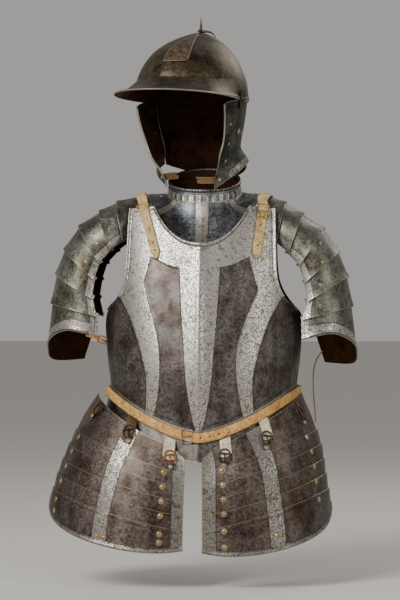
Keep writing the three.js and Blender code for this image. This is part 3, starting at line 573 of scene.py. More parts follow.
# Collar: two narrow lames riveted above the gorget. The upper one's top edge is rolled and filed into a
# rope, and the lower one is filed into short upright notches.
notches = 30
for name, top, out in (("collar_upper", 0, 0), ("collar_lower", 9, 3.2)):
    def collar_point(turn, v, top=top, out=out):
        return neck_point(turn, neck_top(turn) - top - v * (collar["lame"] + 1.5), out + 1.2 * v)

    def notched(turn, v, grid, deep=0.5 if top else 0.0):
        return -deep * np.abs(np.sin(np.radians(turn) * notches / 2)) ** 6 * ease(0.1, 0.3, v)

    def notch_dark(turn, v, grid, deep=bool(top)):
        line = 2.0 - 5.0 * np.abs(np.sin(np.radians(turn) * notches / 2))
        return line if deep else np.full_like(turn, 1.5)

    piece(f"{name}_finished",
          plate_mesh(f"{name}_finished", collar_point, np.arange(0, 360, 0.75), near_ends(10, 0.8, 2, 12),
                     lame_steel, (0, 10, 0), around=True, lift=notched, dark=notch_dark),
          gorget_steel, "armour", "plate_steel", name)


def tube_mesh(name, path, radius, closed, sides=12, shape=None):
    """A round bar along a path of points in mm. shape(along, angle) multiplies its radius."""
    path = np.array(path, float)
    ahead = np.roll(path, -1, 0) - np.roll(path, 1, 0) if closed else np.gradient(path, axis=0)
    ahead = unit(ahead)
    side = np.zeros_like(path)
    last = np.array([0, 0, 1.0]) if abs(ahead[0][2]) < 0.9 else np.array([1.0, 0, 0])
    for i, direction in enumerate(ahead):
        last = last - direction * np.dot(last, direction)
        last = last / np.linalg.norm(last)
        side[i] = last
    other = np.cross(ahead, side)
    angle = np.arange(sides) / sides * 2 * np.pi
    step = np.linalg.norm(np.diff(path, axis=0), axis=1)
    along = np.concatenate([[0], np.cumsum(step)])
    wide = radius * (shape(along[:, None], angle[None, :]) if shape else np.ones((len(path), sides)))
    ring = side[:, None] * np.cos(angle)[None, :, None] + other[:, None] * np.sin(angle)[None, :, None]
    points = path[:, None] + ring * wide[..., None]
    count = len(path)
    faces = []
    for i in range(count if closed else count - 1):
        a, b = i * sides, (i + 1) % count * sides
        faces += [(a + k, a + (k + 1) % sides, b + (k + 1) % sides, b + k) for k in range(sides)]
    if not closed:
        faces += [tuple(reversed(range(sides))), tuple((count - 1) * sides + k for k in range(sides))]
    mesh = bpy.data.meshes.new(name)
    mesh.from_pydata((points.reshape(-1, 3) * mm).tolist(), [], faces)
    mesh.shade_smooth()
    mesh.set_sharp_from_angle(angle=math.radians(50))
    return mesh


rope = {"radius": 3.4, "strands": 4, "pitch": 5.6, "rise": 0.4, "out": 0.6}
rim_turns = np.linspace(0, 360, 900, endpoint=False)
rim_path = neck_point(rim_turns, neck_top(rim_turns) - rope["rise"], rope["out"])
rim_length = np.linalg.norm(np.diff(rim_path, axis=0, append=rim_path[:1]), axis=1).sum()
rim_turn = 2 * np.pi * round(rim_length / rope["pitch"]) / rim_length


def rope_shape(along, angle):
    return 0.8 + 0.24 * np.abs(np.sin((rope["strands"] * angle + rim_turn * along) / 2)) ** 0.6


def add_values(mesh, **values):
    """Gives every point of a mesh the same attribute values."""
    for key, value in values.items():
        layer = mesh.attributes.new(key, "FLOAT", "POINT")
        layer.data.foreach_set("value", np.full(len(mesh.vertices), value, np.float32))
    return mesh


rim_mesh = add_values(tube_mesh("collar_roped_rim", rim_path, rope["radius"], True, 20, rope_shape),
                      edge=9.0, dark=-5.0)
piece("collar_roped_rim", rim_mesh, gorget_steel, "armour", "plate_steel")

# Arm defences: seven overlapping lames on each arm, hung from leathers inside. Their front ends were ground
# bright, the rest is grey-green and blotched with rust, and the last one is a long cuff.
arm_rings = table("reach down tilt half depth", (125, -6.6, 86, 50, 46), (160, 5, 78, 54, 63),
                  (193, 23, 71, 56, 73), (232, 51, 58, 59, 75), (260, 95, 43, 61, 73), (276, 142, 32, 63, 71),
                  (284, 197, 15, 68, 69), (291, 275, -2, 72, 70), (298, 353, -8, 73, 70))
arm_centre = -5
arm_drop = {-1: 0, 1: 6}
overlap = 0.25
lame_step = (lame_steel + 0.95) * (1 + overlap)
arm_opening = {"top": 118, "bottom": 110, "rear_end": 82}
cuff_edge = table("turn length", (-118, 0.78), (-95, 0.66), (-65, 0.6), (-36, 0.76), (0, 1.04), (14, 1.26),
                  (30, 1.37), (60, 1.42), (118, 1.4))
sides = {"left": -1, "right": 1}
arm_lames = 7
lame_flare = 2.2


def arm_point(sign, place, turn, lift):
    """A point of the arm: place counts the lames down, turn goes round from the crest to the back."""
    tilt = np.radians(read_straight(arm_rings, place, "tilt"))
    angle = np.radians(turn)
    half, depth = read_straight(arm_rings, place, "half"), read_straight(arm_rings, place, "depth")
    centre = arm_centre * np.minimum(place, 1)
    drop = arm_drop[sign] * np.minimum(place / 2, 1) ** 1.2
    up = np.stack([sign * np.cos(tilt), 0 * tilt, np.sin(tilt)], -1)
    across = np.array([0, 1.0, 0])
    down = read_straight(arm_rings, place, "down") + drop
    crest = np.stack([centre + sign * read_straight(arm_rings, place, "reach"), 0 * tilt, -down], -1)
    normal = unit(up * (np.cos(angle) / half)[..., None] + across * (np.sin(angle) / depth)[..., None])
    around = up * (half * (np.cos(angle) - 1))[..., None] + across * (depth * np.sin(angle))[..., None]
    return crest + around + normal * np.broadcast_to(lift, np.shape(tilt))[..., None]


def arm_lame(sign, i):
    """The face of one lame: u goes round the arm, and the first half of v lies under the lame above."""
    def point(u, v):
        top = 0 if i == 1 else i - 1 - overlap
        opening = mix(arm_opening["top"], arm_opening["bottom"], v)
        rear = mix(arm_opening["top"], arm_opening["rear_end"], v) if i == arm_lames else opening
        turn = np.where(u > 0, u * rear, u * opening)
        length = read(cuff_edge, "turn", turn, "length") if i == arm_lames else 1
        place = np.where(v < 0.5, mix(top, i - 1, v * 2), mix(i - 1, i - 1 + length, v * 2 - 1))
        share = (place - top) / (i - top)
        flare_out = lame_flare * np.clip(share, 0, 1) ** 5 if i < arm_lames else 0
        return arm_point(sign, place, turn, lame_step * share + flare_out)
    return point


def across_mm(grid):
    """How far each point lies from the first column, in mm along its row."""
    step = np.linalg.norm(np.diff(grid, axis=1), axis=-1)
    return np.concatenate([np.zeros_like(step[:, :1]), np.cumsum(step, axis=1)], axis=1)


def up_mm(grid):
    """How far each point lies from the last row, in mm along its column."""
    step = np.linalg.norm(np.diff(grid, axis=0), axis=-1)
    down = np.concatenate([np.zeros_like(step[:1]), np.cumsum(step, axis=0)], axis=0)
    return down[-1:] - down


bright_end = 16
cuff_band = {"from": 3, "to": 21}


def arm_dark(last):
    def dark(u, v, grid):
        ends = across_mm(grid)
        near = ends - bright_end
        if not last:
            return near
        middle, half = (cuff_band["from"] + cuff_band["to"]) / 2, (cuff_band["to"] - cuff_band["from"]) / 2
        return np.minimum(near, np.abs(up_mm(grid) - middle) - half)
    return dark


cuff_roll = {"height": 1.6, "width": 6}


def cuff_lift(u, v, grid):
    return cuff_roll["height"] * rolled(up_mm(grid) / cuff_roll["width"])


arm_steel = black_and_white_steel("blotched_arm_steel", (
    (0.32, "#604F38"), (0.42, "#757163"), (0.56, "#94968D"), (0.68, "#756850")), bright_steel, 0.6,
    worn_lit_edge_to=1.1, worn_lit_edge_colour="#A79F8C")
for side, sign in sides.items():
    for i in range(1, arm_lames + 1):
        last = i == arm_lames
        rows = near_ends(26 if last else 14, 1.0, 3, 80)
        rows = 0.5 + rows / 2 if i == 1 else rows
        name = f"arm_{side}_lame_{i}"
        heart = arm_point(sign, np.array(i - 0.5), np.array(0.0), -60.0)
        mesh = plate_mesh(f"{name}_finished", arm_lame(sign, i), 2 * near_ends(84, 0.8, 3, 250) - 1, rows,
                          lame_steel, heart, lift=cuff_lift if last else None, dark=arm_dark(last),
                          groove=cuff_roll["width"] if last else None)
        piece(f"{name}_finished", mesh, arm_steel, "armour", "lame_steel", name)

# Thigh plates: six lames on each thigh, each over the one above, with bright ground bands down the middle
# and along the inner edge. The last one's edge is turned up and bright.
thigh_rows = [(38, 16), (76, 84), (102, 110), (128, 138), (154, 166), (181, 194)]
thigh_shape = {"left": table("inner outer", *thigh_rows, (218, 208)),
               "right": table("inner outer", *thigh_rows, (222, 226))}
thigh_centre = -8.5
thigh_end = {"inner": 3.9, "outer": 86}
hem_belly = 43
cut_corner = 14
thigh_lift = 0.8
thigh_bulge = 7
thigh_lames = 6


def thigh_point(side, place, u, lift):
    """A point of a thigh plate: u goes from the inner to the outer edge, place counts the lames down."""
    shape = thigh_shape[side]
    belly = np.maximum(place - 5, 0) * hem_belly * (1 - (1 - u) ** 3) * (1 - u ** 6)
    corner = np.maximum(1 - place, 0) * cut_corner * np.maximum(1 - u / 0.08, 0)
    bulge = thigh_bulge * np.sin(np.pi * u) * np.minimum(place / 2, 1)
    inner, outer = read_straight(shape, place, "inner"), read_straight(shape, place, "outer")
    turn = sides[side] * mix(thigh_end["inner"], thigh_end["outer"], u)
    at = skirt_point(turn, mix(inner, outer, u) + belly + corner, thigh_lift + bulge + lift, side)
    at[..., 0] += thigh_centre
    return at


thigh_band = {"left": table("place u", (0, 0.375), (1, 0.4), (2, 0.41), (6, 0.43)),
              "right": table("place u", (0, 0.35), (1, 0.388), (5, 0.414), (6, 0.42))}
thigh_band_half = {"left": 15, "right": 16}
inner_band = {"left": 22, "right": 26}
hem_band = 9
hem_roll = {"height": 2.4, "width": 7}


def thigh_dark(side):
    def dark(u, place, grid):
        inner = across_mm(grid)
        share = read(thigh_band[side], "place", place, "u")
        middle = np.array([np.interp(s, row_u, row) for s, row_u, row in zip(share[:, 0], u, inner)])
        near = np.abs(inner - middle[:, None]) - thigh_band_half[side]
        near = np.minimum(near, inner - inner_band[side])
        if place.max() > 5.9:
            hem = up_mm(grid) - hem_band
            near = np.minimum(near, hem)
        return near
    return dark


def hem_lift(u, place, grid):
    far = up_mm(grid) / hem_roll["width"]
    return np.where(far < 1, hem_roll["height"] * np.sin(np.pi * np.minimum(0.25 + 0.75 * far, 1)), 0)


thigh_steel = black_and_white_steel("red_brown_thigh_steel", (
    (0.32, "#4C3E37"), (0.45, "#6B5D55"), (0.57, "#7D736C"), (0.7, "#5E4E45")), dim_steel, 0.65, worn_lit_edge_to=1.4,
    worn_lit_edge_colour="#A39878")
for side in sides:
    for i in range(thigh_lames):
        last = i == thigh_lames - 1
        end = thigh_lames if last else i + 1 + overlap

        def lame_point(u, place, side=side, i=i):
            return thigh_point(side, place, u, lame_step * (1 - (place - i) / (1 + overlap)))

        rows = i + (end - i) * near_ends(34 if last else 16, 0.9, 3, 60 if last else 34)
        name = f"thigh_{side}_lame_{i + 1}"
        mesh = plate_mesh(f"{name}_finished", lame_point, near_ends(90, 0.9, 3, 220), rows, lame_steel,
                          (0, 0, -430), lift=hem_lift if last else None, dark=thigh_dark(side),
                          groove=hem_roll["width"] if last else None)
        piece(f"{name}_finished", mesh, thigh_steel, "armour", "lame_steel", name)

# Helmet skull: one raised sheet of iron with a low comb, drawn out into a peak in front, brown-black with
# old varnish and rust. It is turned a little to the wearer's right.
helmet_at = np.array([-21, -35, 0.0])
helmet_turn = math.radians(-24)


def on_helmet(points):
    """Turns points from the helmet's own frame into the armour's."""
    c, s = math.cos(helmet_turn), math.sin(helmet_turn)
    x, y, z = np.moveaxis(np.asarray(points, float), -1, 0)
    return np.stack([c * x - s * y, s * x + c * y, z], -1) + helmet_at


skull = {"half": 102, "length": 125, "rim": 186, "height": 132.5, "peak_from": 0.27, "back": 35}
peak = {"length": 199, "rise": 9, "spread": 1.45, "dip": 0.8}
skull_shape = table("lift reach", (0, 1), (0.12, 0.992), (0.27, 0.965), (0.4, 0.91), (0.55, 0.815),
                    (0.68, 0.7), (0.8, 0.535), (0.9, 0.335), (0.97, 0.14), (1, 0))
comb_height = 4


def skull_point(turn, lift):
    """turn is 0 at the front, and lift runs from the rim to the top of the skull."""
    s, c = np.sin(np.radians(turn)), np.cos(np.radians(turn))
    front = np.maximum(c, 0) ** peak["spread"]
    low = np.maximum((skull["peak_from"] - lift) / skull["peak_from"], 0)
    spread = (peak["length"] / skull["length"] - 1) * front * low
    reach = read(skull_shape, "lift", lift, "reach") + spread
    comb = comb_height * np.exp(-6 * np.abs(s)) * np.minimum(reach, 1) * (1 - low)
    rim = skull["rim"] + peak["rise"] * front
    base = skull["rim"] + skull["height"] * skull["peak_from"]
    peak_z = rim + (base - rim) * (1 - low) ** (1 + peak["dip"] * front)
    z = np.where(low > 0, peak_z, skull["rim"] + skull["height"] * lift)
    x = skull["half"] * reach * s
    y = -(skull["length"] * reach + comb) * c + skull["back"] * np.maximum(lift, 0) ** 4
    return on_helmet(np.stack([x, y, z], -1))


comb_line = 1.6


def skull_dark(turn, v, grid):
    side = np.abs(np.sin(np.radians(turn))) * skull["half"]
    return np.maximum(side - comb_line, mix(-9.0, 6.0, ease(0.4, 0.5, v)))


rim_roll = {"height": 1.6, "width": 6}


def skull_lift(turn, v, grid):
    return rim_roll["height"] * rolled(up_mm(grid) / rim_roll["width"])


patina = ((0.32, "#38322A"), (0.43, "#585043"), (0.52, "#6D6552"), (0.6, "#6A5841"), (0.7, "#484137"))
helmet_bright = ((0.36, "#5A544C"), (0.5, "#8D877D"), (0.7, "#B9B3A8"))
helmet_steel = black_and_white_steel("varnished_helmet_iron", patina, helmet_bright)
skull_heart = on_helmet((0, 0, 206))
skull_rows = np.concatenate([np.linspace(0, 0.06, 7), np.linspace(0.07, 0.97, 62), [0.98, 0.99, 1.0]])
skull_mesh = plate_mesh("helmet_skull_finished", lambda turn, v: skull_point(turn, 1 - v),
                        np.arange(0, 360, 2.0), skull_rows, plate_steel, skull_heart, around=True,
                        lift=skull_lift, dark=skull_dark, groove=rim_roll["width"])
piece("helmet_skull_finished", skull_mesh, helmet_steel, "armour", "helmet_steel", "helmet_skull")

# Face of the helmet: two cheek pieces hinged at the rim and a fixed plate over the nape, all flared out
# at their lower edge to lie on the collar.
face_rings = table("z half length back centre front", (10, 72, 66, 70, 50, 40), (35, 74, 62, 78, 42, 42.5),
                   (58, 76, 72, 92, 28, 54.7), (82, 80, 100, 104, 12, 67), (106, 85.5, 118, 110, 3, 74),
                   (148, 96, 119, 117, -2, 71), (186, 101.3, 121, 123, -3, 67.5))
cheek = {"top": 185.3, "front_top": 173, "rear_foot": 72, "rear": 110, "front_flare": 5, "rear_flare": 19,
         "fade": 20}
cheek_foot = {-1: 24, 1: 16}
nape = {"from": 107, "foot": 46, "flare": 12, "tuck": 2.7}


def face_point(sign, turn, z, foot, flare_out, inset=0.0):
    s, c = np.sin(np.radians(turn)), np.cos(np.radians(turn))
    out = flare_out * np.exp(-((z - foot) / cheek["fade"]) ** 2) - inset
    depth = np.where(c > 0, read(face_rings, "z", z, "length"), read(face_rings, "z", z, "back")) + out
    x = sign * (read(face_rings, "z", z, "half") + out) * s
    y = read(face_rings, "z", z, "centre") - depth * c
    return on_helmet(np.stack([x, y, z + 0 * x], -1))


def cheek_point(sign):
    def point(u, v):
        foot = mix(cheek_foot[sign], cheek["rear_foot"], u ** 0.8)
        top = mix(cheek["front_top"], cheek["top"], np.minimum(u / 0.55, 1) ** 0.6)
        z = mix(top, foot, v)
        turn = mix(read(face_rings, "z", z, "front"), cheek["rear"], u)
        return face_point(sign, turn, z, foot, mix(cheek["front_flare"], cheek["rear_flare"], u))
    return point


def nape_point(turn, v):
    foot = mix(cheek["rear_foot"], nape["foot"], np.sin(np.radians(turn - 90)) ** 2)
    tuck = nape["tuck"] * (1 - ease(110.3, 113.3, np.minimum(turn, 360 - turn)))
    return face_point(1, turn, mix(cheek["top"], foot, v), foot, nape["flare"], tuck)


cheek_roll = {"height": 2.0, "width": 5}
rib = {"pitch": 3.4, "deep": 0.7, "high": 15}


def cheek_lift(u, v, grid):
    """The front edge is rolled, and the flared foot is filed into upright ribs."""
    bead = cheek_roll["height"] * rolled(across_mm(grid) / cheek_roll["width"])
    foot = np.where(up_mm(grid) < rib["high"], 1, 0) * ease(0.25, 0.35, u)
    return bead - foot * rib["deep"] * np.abs(np.sin(np.pi * across_mm(grid) / rib["pitch"]))


def cheek_dark(u, v, grid):
    foot = up_mm(grid) - rib["high"]
    return np.where(u > 0.3, foot, 5.0)


cheek_steel = black_and_white_steel("dark_green_grey_cheek_iron", (
    (0.32, "#3A3833"), (0.45, "#575850"), (0.57, "#6F7169"), (0.7, "#54493D")), helmet_bright, 0.7)
helmet_inner_heart = on_helmet((0, 20, 110))
for side, sign in sides.items():
    mesh = plate_mesh(f"cheek_{side}_finished", cheek_point(sign), near_ends(120, 0.8, 5, 130),
                      near_ends(90, 0.8, 4, 130), plate_steel, helmet_inner_heart, lift=cheek_lift,
                      dark=cheek_dark)
    piece(f"cheek_{side}_finished", mesh, cheek_steel, f"cheek_{side}", "helmet_steel", f"cheek_{side}")
nape_mesh = plate_mesh("helmet_nape_finished", nape_point, np.linspace(nape["from"], 360 - nape["from"], 110),
                       near_ends(40, 1.0, 3, 130), plate_steel, helmet_inner_heart,
                       groove=9.0)
piece("helmet_nape_finished", nape_mesh, helmet_steel, "armour", "helmet_steel", "helmet_nape")

# Leather: two shoulder straps, a waist belt, six hanger tabs, two chin tabs and a loose arm strap.
tan = ((0.32, "#A98A58"), (0.5, "#C9AE79"), (0.68, "#DCC695"))


# Tanned hide with its patches, pebbled grain and creases in mm. Cut edges are brown, and the punched holes
# get the same brown as painted shade inside them.
leather_pattern = {"patch": 20, "grain": 1.1, "crease": 4}
cut_edge_and_hole_shade_brown = "#6B5232"


def leather(name, colours):
    material, tree, shader = new_material(name, 0.0, 0.35)
    place = add(tree, "ShaderNodeTexCoord").outputs["Object"]
    patch = add(tree, "ShaderNodeTexNoise", {"Scale": 1 / (leather_pattern["patch"] * mm), "Detail": 4.0,
                                              "Roughness": 0.6},
                {"Vector": place}).outputs[0]
    grain = add(tree, "ShaderNodeTexVoronoi", {"Scale": 1 / (leather_pattern["grain"] * mm),
                                               ".feature": "SMOOTH_F1"}, {"Vector": place}).outputs[0]
    crease = add(tree, "ShaderNodeTexNoise", {"Scale": 1 / (leather_pattern["crease"] * mm), "Detail": 3.0,
                                              "Distortion": 0.8}, {"Vector": place}).outputs[0]
    colour = ramp(tree, patch, *colours)
    dirt = ramp(tree, crease, (0.38, "#B49E84"), (0.55, "#FFFFFF"))
    colour = add(tree, "ShaderNodeMix", {".data_type": "RGBA", ".blend_type": "MULTIPLY", "Factor": 0.7},
                 {"6": colour, "7": dirt}).outputs[2]
    edge = add(tree, "ShaderNodeAttribute", {".attribute_name": "edge"}).outputs["Fac"]
    hole = add(tree, "ShaderNodeAttribute", {".attribute_name": "dark"}).outputs["Fac"]
    cut = to_range(tree, edge, 0.2, 1.6, 0.7, 0.0)
    # Painted shade: the punched holes are darkened to the cut-edge brown.
    painted_hole_shade = to_range(tree, hole, -0.4, 0.2, 0.0, 0.95)
    dark = add(tree, "ShaderNodeMath", {".operation": "MAXIMUM"}, {"0": cut, "1": painted_hole_shade}).outputs[0]
    colour = add(tree, "ShaderNodeMix", {".data_type": "RGBA", "7": hex_colour(cut_edge_and_hole_shade_brown)},
                 {"0": dark, "6": colour}).outputs[2]
    tree.links.new(colour, shader.inputs["Base Color"])
    tree.links.new(to_range(tree, patch, 0.3, 0.7, 0.5, 0.68), shader.inputs["Roughness"])
    both = add(tree, "ShaderNodeMath", {".operation": "MULTIPLY_ADD", "1": 0.4},
               {"0": grain, "2": crease}).outputs[0]
    bump = add(tree, "ShaderNodeBump", {"Strength": 0.45, "Distance": 0.4 * mm}, {"Height": both}).outputs[0]
    tree.links.new(bump, shader.inputs["Normal"])
    return material


def smooth_rows(rows, place):
    """Points between rows of points, along a smooth curve through them."""
    rows = np.array(rows)
    slope = np.gradient(rows, axis=0)
    i = np.clip(np.floor(place).astype(int), 0, len(rows) - 2)
    t = (place - i)[:, None, None]
    a, b, rise, fall = rows[i], rows[i + 1], slope[i], slope[i + 1]
    return a + t * (rise + t * (3 * (b - a) - 2 * rise - fall + t * (2 * (a - b) + rise + fall)))


punch_radius = 2.0


def strap_mesh(name, rows, thick, inside, count, pointed=0.0, holes=()):
    """A leather strap on top of rows of points across it, from one end to the other. pointed is the
    length in mm over which its first end narrows, and holes are distances from that end."""
    rows = np.array(rows)
    grid = smooth_rows(rows, np.linspace(0, len(rows) - 1, count))
    step = np.linalg.norm(np.diff(grid[:, grid.shape[1] // 2], axis=0), axis=-1)
    along = np.concatenate([[0], np.cumsum(step)])
    centre = (grid[:, :1] + grid[:, -1:]) / 2
    width = np.ones(count)
    if pointed:
        width = np.clip(along / pointed, 0.04, 1) ** 0.7
    grid = centre + (grid - centre) * width[:, None, None]
    normal = facing_out(grid, inside, False)
    half = np.linalg.norm(grid[:, -1] - grid[:, 0], axis=-1)[:, None] / 2
    side = np.linspace(-1, 1, grid.shape[1])[None, :] * half
    hole = np.full(side.shape, -9.0)
    for at in holes:
        hole = np.maximum(hole, punch_radius - np.hypot(side, along[:, None] - at))
    edge = np.minimum(half - np.abs(side), np.minimum(along, along[-1] - along)[:, None])
    soft = -0.6 * (1 - ease(0, 1.4, edge)) - 1.6 * ease(-0.3, 0.3, hole)
    outer = grid + normal * (thick + soft)[..., None]
    return wall_mesh(name, outer, grid, False, {"edge": edge, "dark": hole})


tan_leather = leather("worn_tan_strap_leather", tan)
belt_leather = leather("orange_tan_belt_leather", ((0.32, "#B58A4A"), (0.5, "#D0A35A"), (0.68, "#DDB878")))
buff_leather = leather("whitened_buff_leather", ((0.3, "#B9AE90"), (0.5, "#D6CDB2"), (0.72, "#E9E3CF")))
blackened = ((0.3, "#33271D"), (0.5, "#4E3C2B"), (0.72, "#6B5238"))
dark_leather = leather("blackened_hanger_leather", blackened)
chin_leather = leather("yellow_buff_leather", ((0.3, "#B98F3F"), (0.5, "#D5AE5A"), (0.72, "#E8CB84")))
strap_leather = 2.6
strap = {"width": 18, "lift": 0.9, "tip": 7, "top": 120}
strap_lean = {"left": 1, "right": 0.42}
strap_route = [(81, 0, 114, -1), (85, 0, 96, -1), (92, 0, 72, -1), (100, 0, 46, -1), (106, 0, 28, -1),
               (109, 0, 16, -1), (113, -54, 0.5, 0), (117, -36, -6.8, 0), (120, -10, -10.2, 0),
               (120, 20, -7.8, 0), (118, 46, 1, 0), (114, 0, 17, 1), (109, 0, 34, 1), (105, 0, 56, 1),
               (102, 0, 76, 1)]
strap_across = np.linspace(-0.5, 0.5, 15)
strap_holes = {"left": (18, 33, 59), "right": (26, 68)}
for side, sign in sides.items():
    rows = []
    for x, y, down, on in strap_route:
        lean = strap_lean[side] if on < 0 else 1
        far = sign * (strap["top"] + (x - strap["top"]) * lean + strap_across * strap["width"])
        if on:
            rows.append(body_at(far, down + 0 * far, on, -strap["lift"]))
        else:
            rows.append(np.stack([far, y + 0 * far, -down - strap_across * strap["tip"]], -1))
    mesh = strap_mesh(f"shoulder_strap_{side}_leather", rows, strap_leather, (0, 0, -120), 260, 14,
                      strap_holes[side])
    piece(f"shoulder_strap_{side}_leather", mesh, tan_leather, "armour", "tan_leather",
          f"shoulder_strap_{side}")

# The waist belt lies on the waist plate. Its free end passes through a wire buckle and lies on top.
belt = {"top": 3, "width": 18.5, "lift": 0.6, "back_lift": 1.5, "down": 352, "rise": 0.2, "out": 3, "fade": 28}


def belt_point(turn, v, lift=0.0):
    drop = belt["top"] + v * belt["width"]
    past = np.abs(turn) - waist_plate["turn"]
    fade = np.maximum(1 - past / belt["fade"], 0)
    out = (read(flare, "drop", drop, "waist") + belt["out"]) * fade
    front = skirt_point(turn, drop, belt["lift"] + lift, "waist")
    side = body_point(turn, belt["down"] + 0 * turn, -1, -belt["lift"] - out - lift)
    rear = body_point(np.sign(turn) * (180 - np.abs(turn)), belt["down"] + 0 * turn, 1,
                      back_inset - belt["back_lift"] - out - lift)
    rear = np.where((np.abs(turn) < 90)[..., None], side, rear)
    rear[..., 2] = -(waist_dip["side"] + drop) + past * belt["rise"]
    return np.where((past <= 0)[..., None], front, rear)


belt_across = np.linspace(0, 1, 13)
belt_turns = np.linspace(-128, 128, 230)
belt_rows = belt_point(*np.meshgrid(belt_across, belt_turns)[::-1])
piece("waist_belt_leather", strap_mesh("waist_belt_leather", belt_rows, strap_leather, (0, 0, -400), 420),
      belt_leather, "armour", "belt_leather", "waist_belt")
tail_turns = np.linspace(16.5, -6.5, 40)
tail_rows = belt_point(*np.meshgrid(belt_across, tail_turns)[::-1], lift=strap_leather + 0.2)
tail_leather = 2.2
mesh = strap_mesh("waist_belt_free_end", tail_rows, tail_leather, (0, 0, -400), 90, 12, (20, 38, 56))
piece("waist_belt_free_end", mesh, belt_leather, "armour", "belt_leather")

# Hanger tabs: short leathers that carry the thigh plates, three of whitened buff and three gone black. The
# inner and middle ones come down from the waist plate, and the outer ones lie on the first lame alone.
hangers = {"inner": (0.1, 0.15, (-1, -0.06, 0.2, 0.4, 0.62)),
           "middle": (0.39, 0.44, (-1, -0.04, 0.2, 0.4, 0.62)),
           "outer": (0.78, 0.83, (0.06, 0.24, 0.43, 0.62))}
white_hangers = ("hanger_left_inner", "hanger_right_inner", "hanger_right_middle")
hanger_size = {"width": 0.075, "lift": 0.5, "seat": 0.35, "above": 10}


def waist_turn(x, drop):
    """The turn at which the waist plate stands at a given x."""
    low, high = np.full_like(x, -84.0), np.full_like(x, 84.0)
    for _ in range(24):
        middle = (low + high) / 2
        short = skirt_point(middle, drop, 0, "waist")[..., 0] < x
        low, high = np.where(short, middle, low), np.where(short, high, middle)
    return low


for side in sides:
    for name, (left, right, places) in hangers.items():
        u = (left if side == "left" else right) + np.linspace(-0.5, 0.5, 13) * hanger_size["width"]
        rows = []
        for place in places:
            if place < -0.5:
                edge = mix(thigh_rows[0][0], thigh_rows[0][1], u)
                drop = np.maximum(edge - hanger_size["above"], belt["top"] + belt["width"] + 3)
                start = thigh_point(side, np.zeros_like(u), u, 0)[..., 0]
                rows.append(skirt_point(waist_turn(start, drop), drop, hanger_size["seat"], "waist"))
            else:
                lift = lame_step * (1 - place / (1 + overlap)) + hanger_size["lift"]
                rows.append(thigh_point(side, np.full_like(u, place), u, lift))
        thing = f"hanger_{side}_{name}"
        mesh = strap_mesh(f"{thing}_leather", rows[::-1], strap_leather, (0, 0, -430), 60, 5)
        hide = buff_leather if thing in white_hangers else dark_leather
        piece(f"{thing}_leather", mesh, hide, "armour", "buff_leather", thing)

# Chin tabs of yellow buff leather, riveted inside the cheek pieces, with their ends cut into fingers.
chin_tab = {"from": 58, "to": 16, "width": 11, "left": (43.5, 2.9), "right": (34, 1.1), "cut": 5}
for side, sign in sides.items():
    z, inset = chin_tab[side]

    def chin_point(u, v, sign=sign, z=z, inset=inset):
        cut = chin_tab["cut"] * np.abs(np.sin(1.5 * np.pi * (u + 0.5))) ** 0.5
        turn = mix(chin_tab["from"], chin_tab["to"] + 4 - cut, v)
        return face_point(sign, turn, z + u * chin_tab["width"], 0.0, 0.0, inset)

    name = f"chin_tab_{side}"
    mesh = plate_mesh(f"{name}_leather", chin_point, np.linspace(-0.5, 0.5, 25), near_ends(30, 0.5, 2, 50),
                      strap_leather, on_helmet((0, 300, 40)))
    piece(f"{name}_leather", mesh, chin_leather, f"cheek_{side}", "tan_leather", name)

# A loose strap hangs from the rear end of the right arm's last lame.
arm_strap_route = [(222.4, 286), (212, 301), (205.5, 322), (204, 350), (205.5, 380), (207.5, 402), (209, 424)]
arm_strap = {"middle": 62.3, "width": 16, "thick": 2.5}
rows = [np.stack([x + 0 * strap_across, arm_strap["middle"] + strap_across * arm_strap["width"],
                  -down + 0 * strap_across], -1) for x, down in arm_strap_route]
mesh = strap_mesh("arm_strap_leather", rows[::-1], arm_strap["thick"], (-100, arm_strap["middle"], -350),
                  120, 9, (22, 44))
piece("arm_strap_leather", mesh, belt_leather, "armour", "belt_leather", "arm_strap")

# Front plate of the helmet: a rusty shield-shaped patch riveted over the front of the comb.
front_plate = table("lift left right", (0.5, -0.5, 25), (0.52, -1, 27.5), (0.6, -1.5, 29), (0.72, 0, 30),
                    (0.8, 6, 31), (0.88, 17, 32), (0.93, 27, 34))


def front_plate_point(u, v):
    lift = mix(front_plate["lift"][-1], front_plate["lift"][0], v)
    turn = mix(read(front_plate, "lift", lift, "left"), read(front_plate, "lift", lift, "right"), u)
    at = skull_point(turn, lift)
    return at + unit(at - skull_heart) * 0.7


iron_patch = 10


def rough_iron(name, colours, metallic=0.6, wear=0.7):
    """Iron under rust or old varnish, with a bright worn edge."""
    material, tree, shader = new_material(name, metallic)
    place = add(tree, "ShaderNodeTexCoord").outputs["Object"]
    patch = add(tree, "ShaderNodeTexNoise", {"Scale": 1 / (iron_patch * mm), "Detail": 6.0, "Roughness": 0.7},
                {"Vector": place}).outputs[0]
    colour = ramp(tree, patch, *colours)
    edge = add(tree, "ShaderNodeAttribute", {".attribute_name": "edge"}).outputs["Fac"]
    worn = to_range(tree, edge, 0.3, 1.4, wear, 0.0)
    colour = add(tree, "ShaderNodeMix", {".data_type": "RGBA", "7": hex_colour("#A59A88")},
                 {"0": worn, "6": colour}).outputs[2]
    tree.links.new(colour, shader.inputs["Base Color"])
    tree.links.new(to_range(tree, patch, 0.3, 0.7, 0.45, 0.75), shader.inputs["Roughness"])
    bump = add(tree, "ShaderNodeBump", {"Strength": 0.6, "Distance": 0.5 * mm}, {"Height": patch}).outputs[0]
    tree.links.new(bump, shader.inputs["Normal"])
    return material


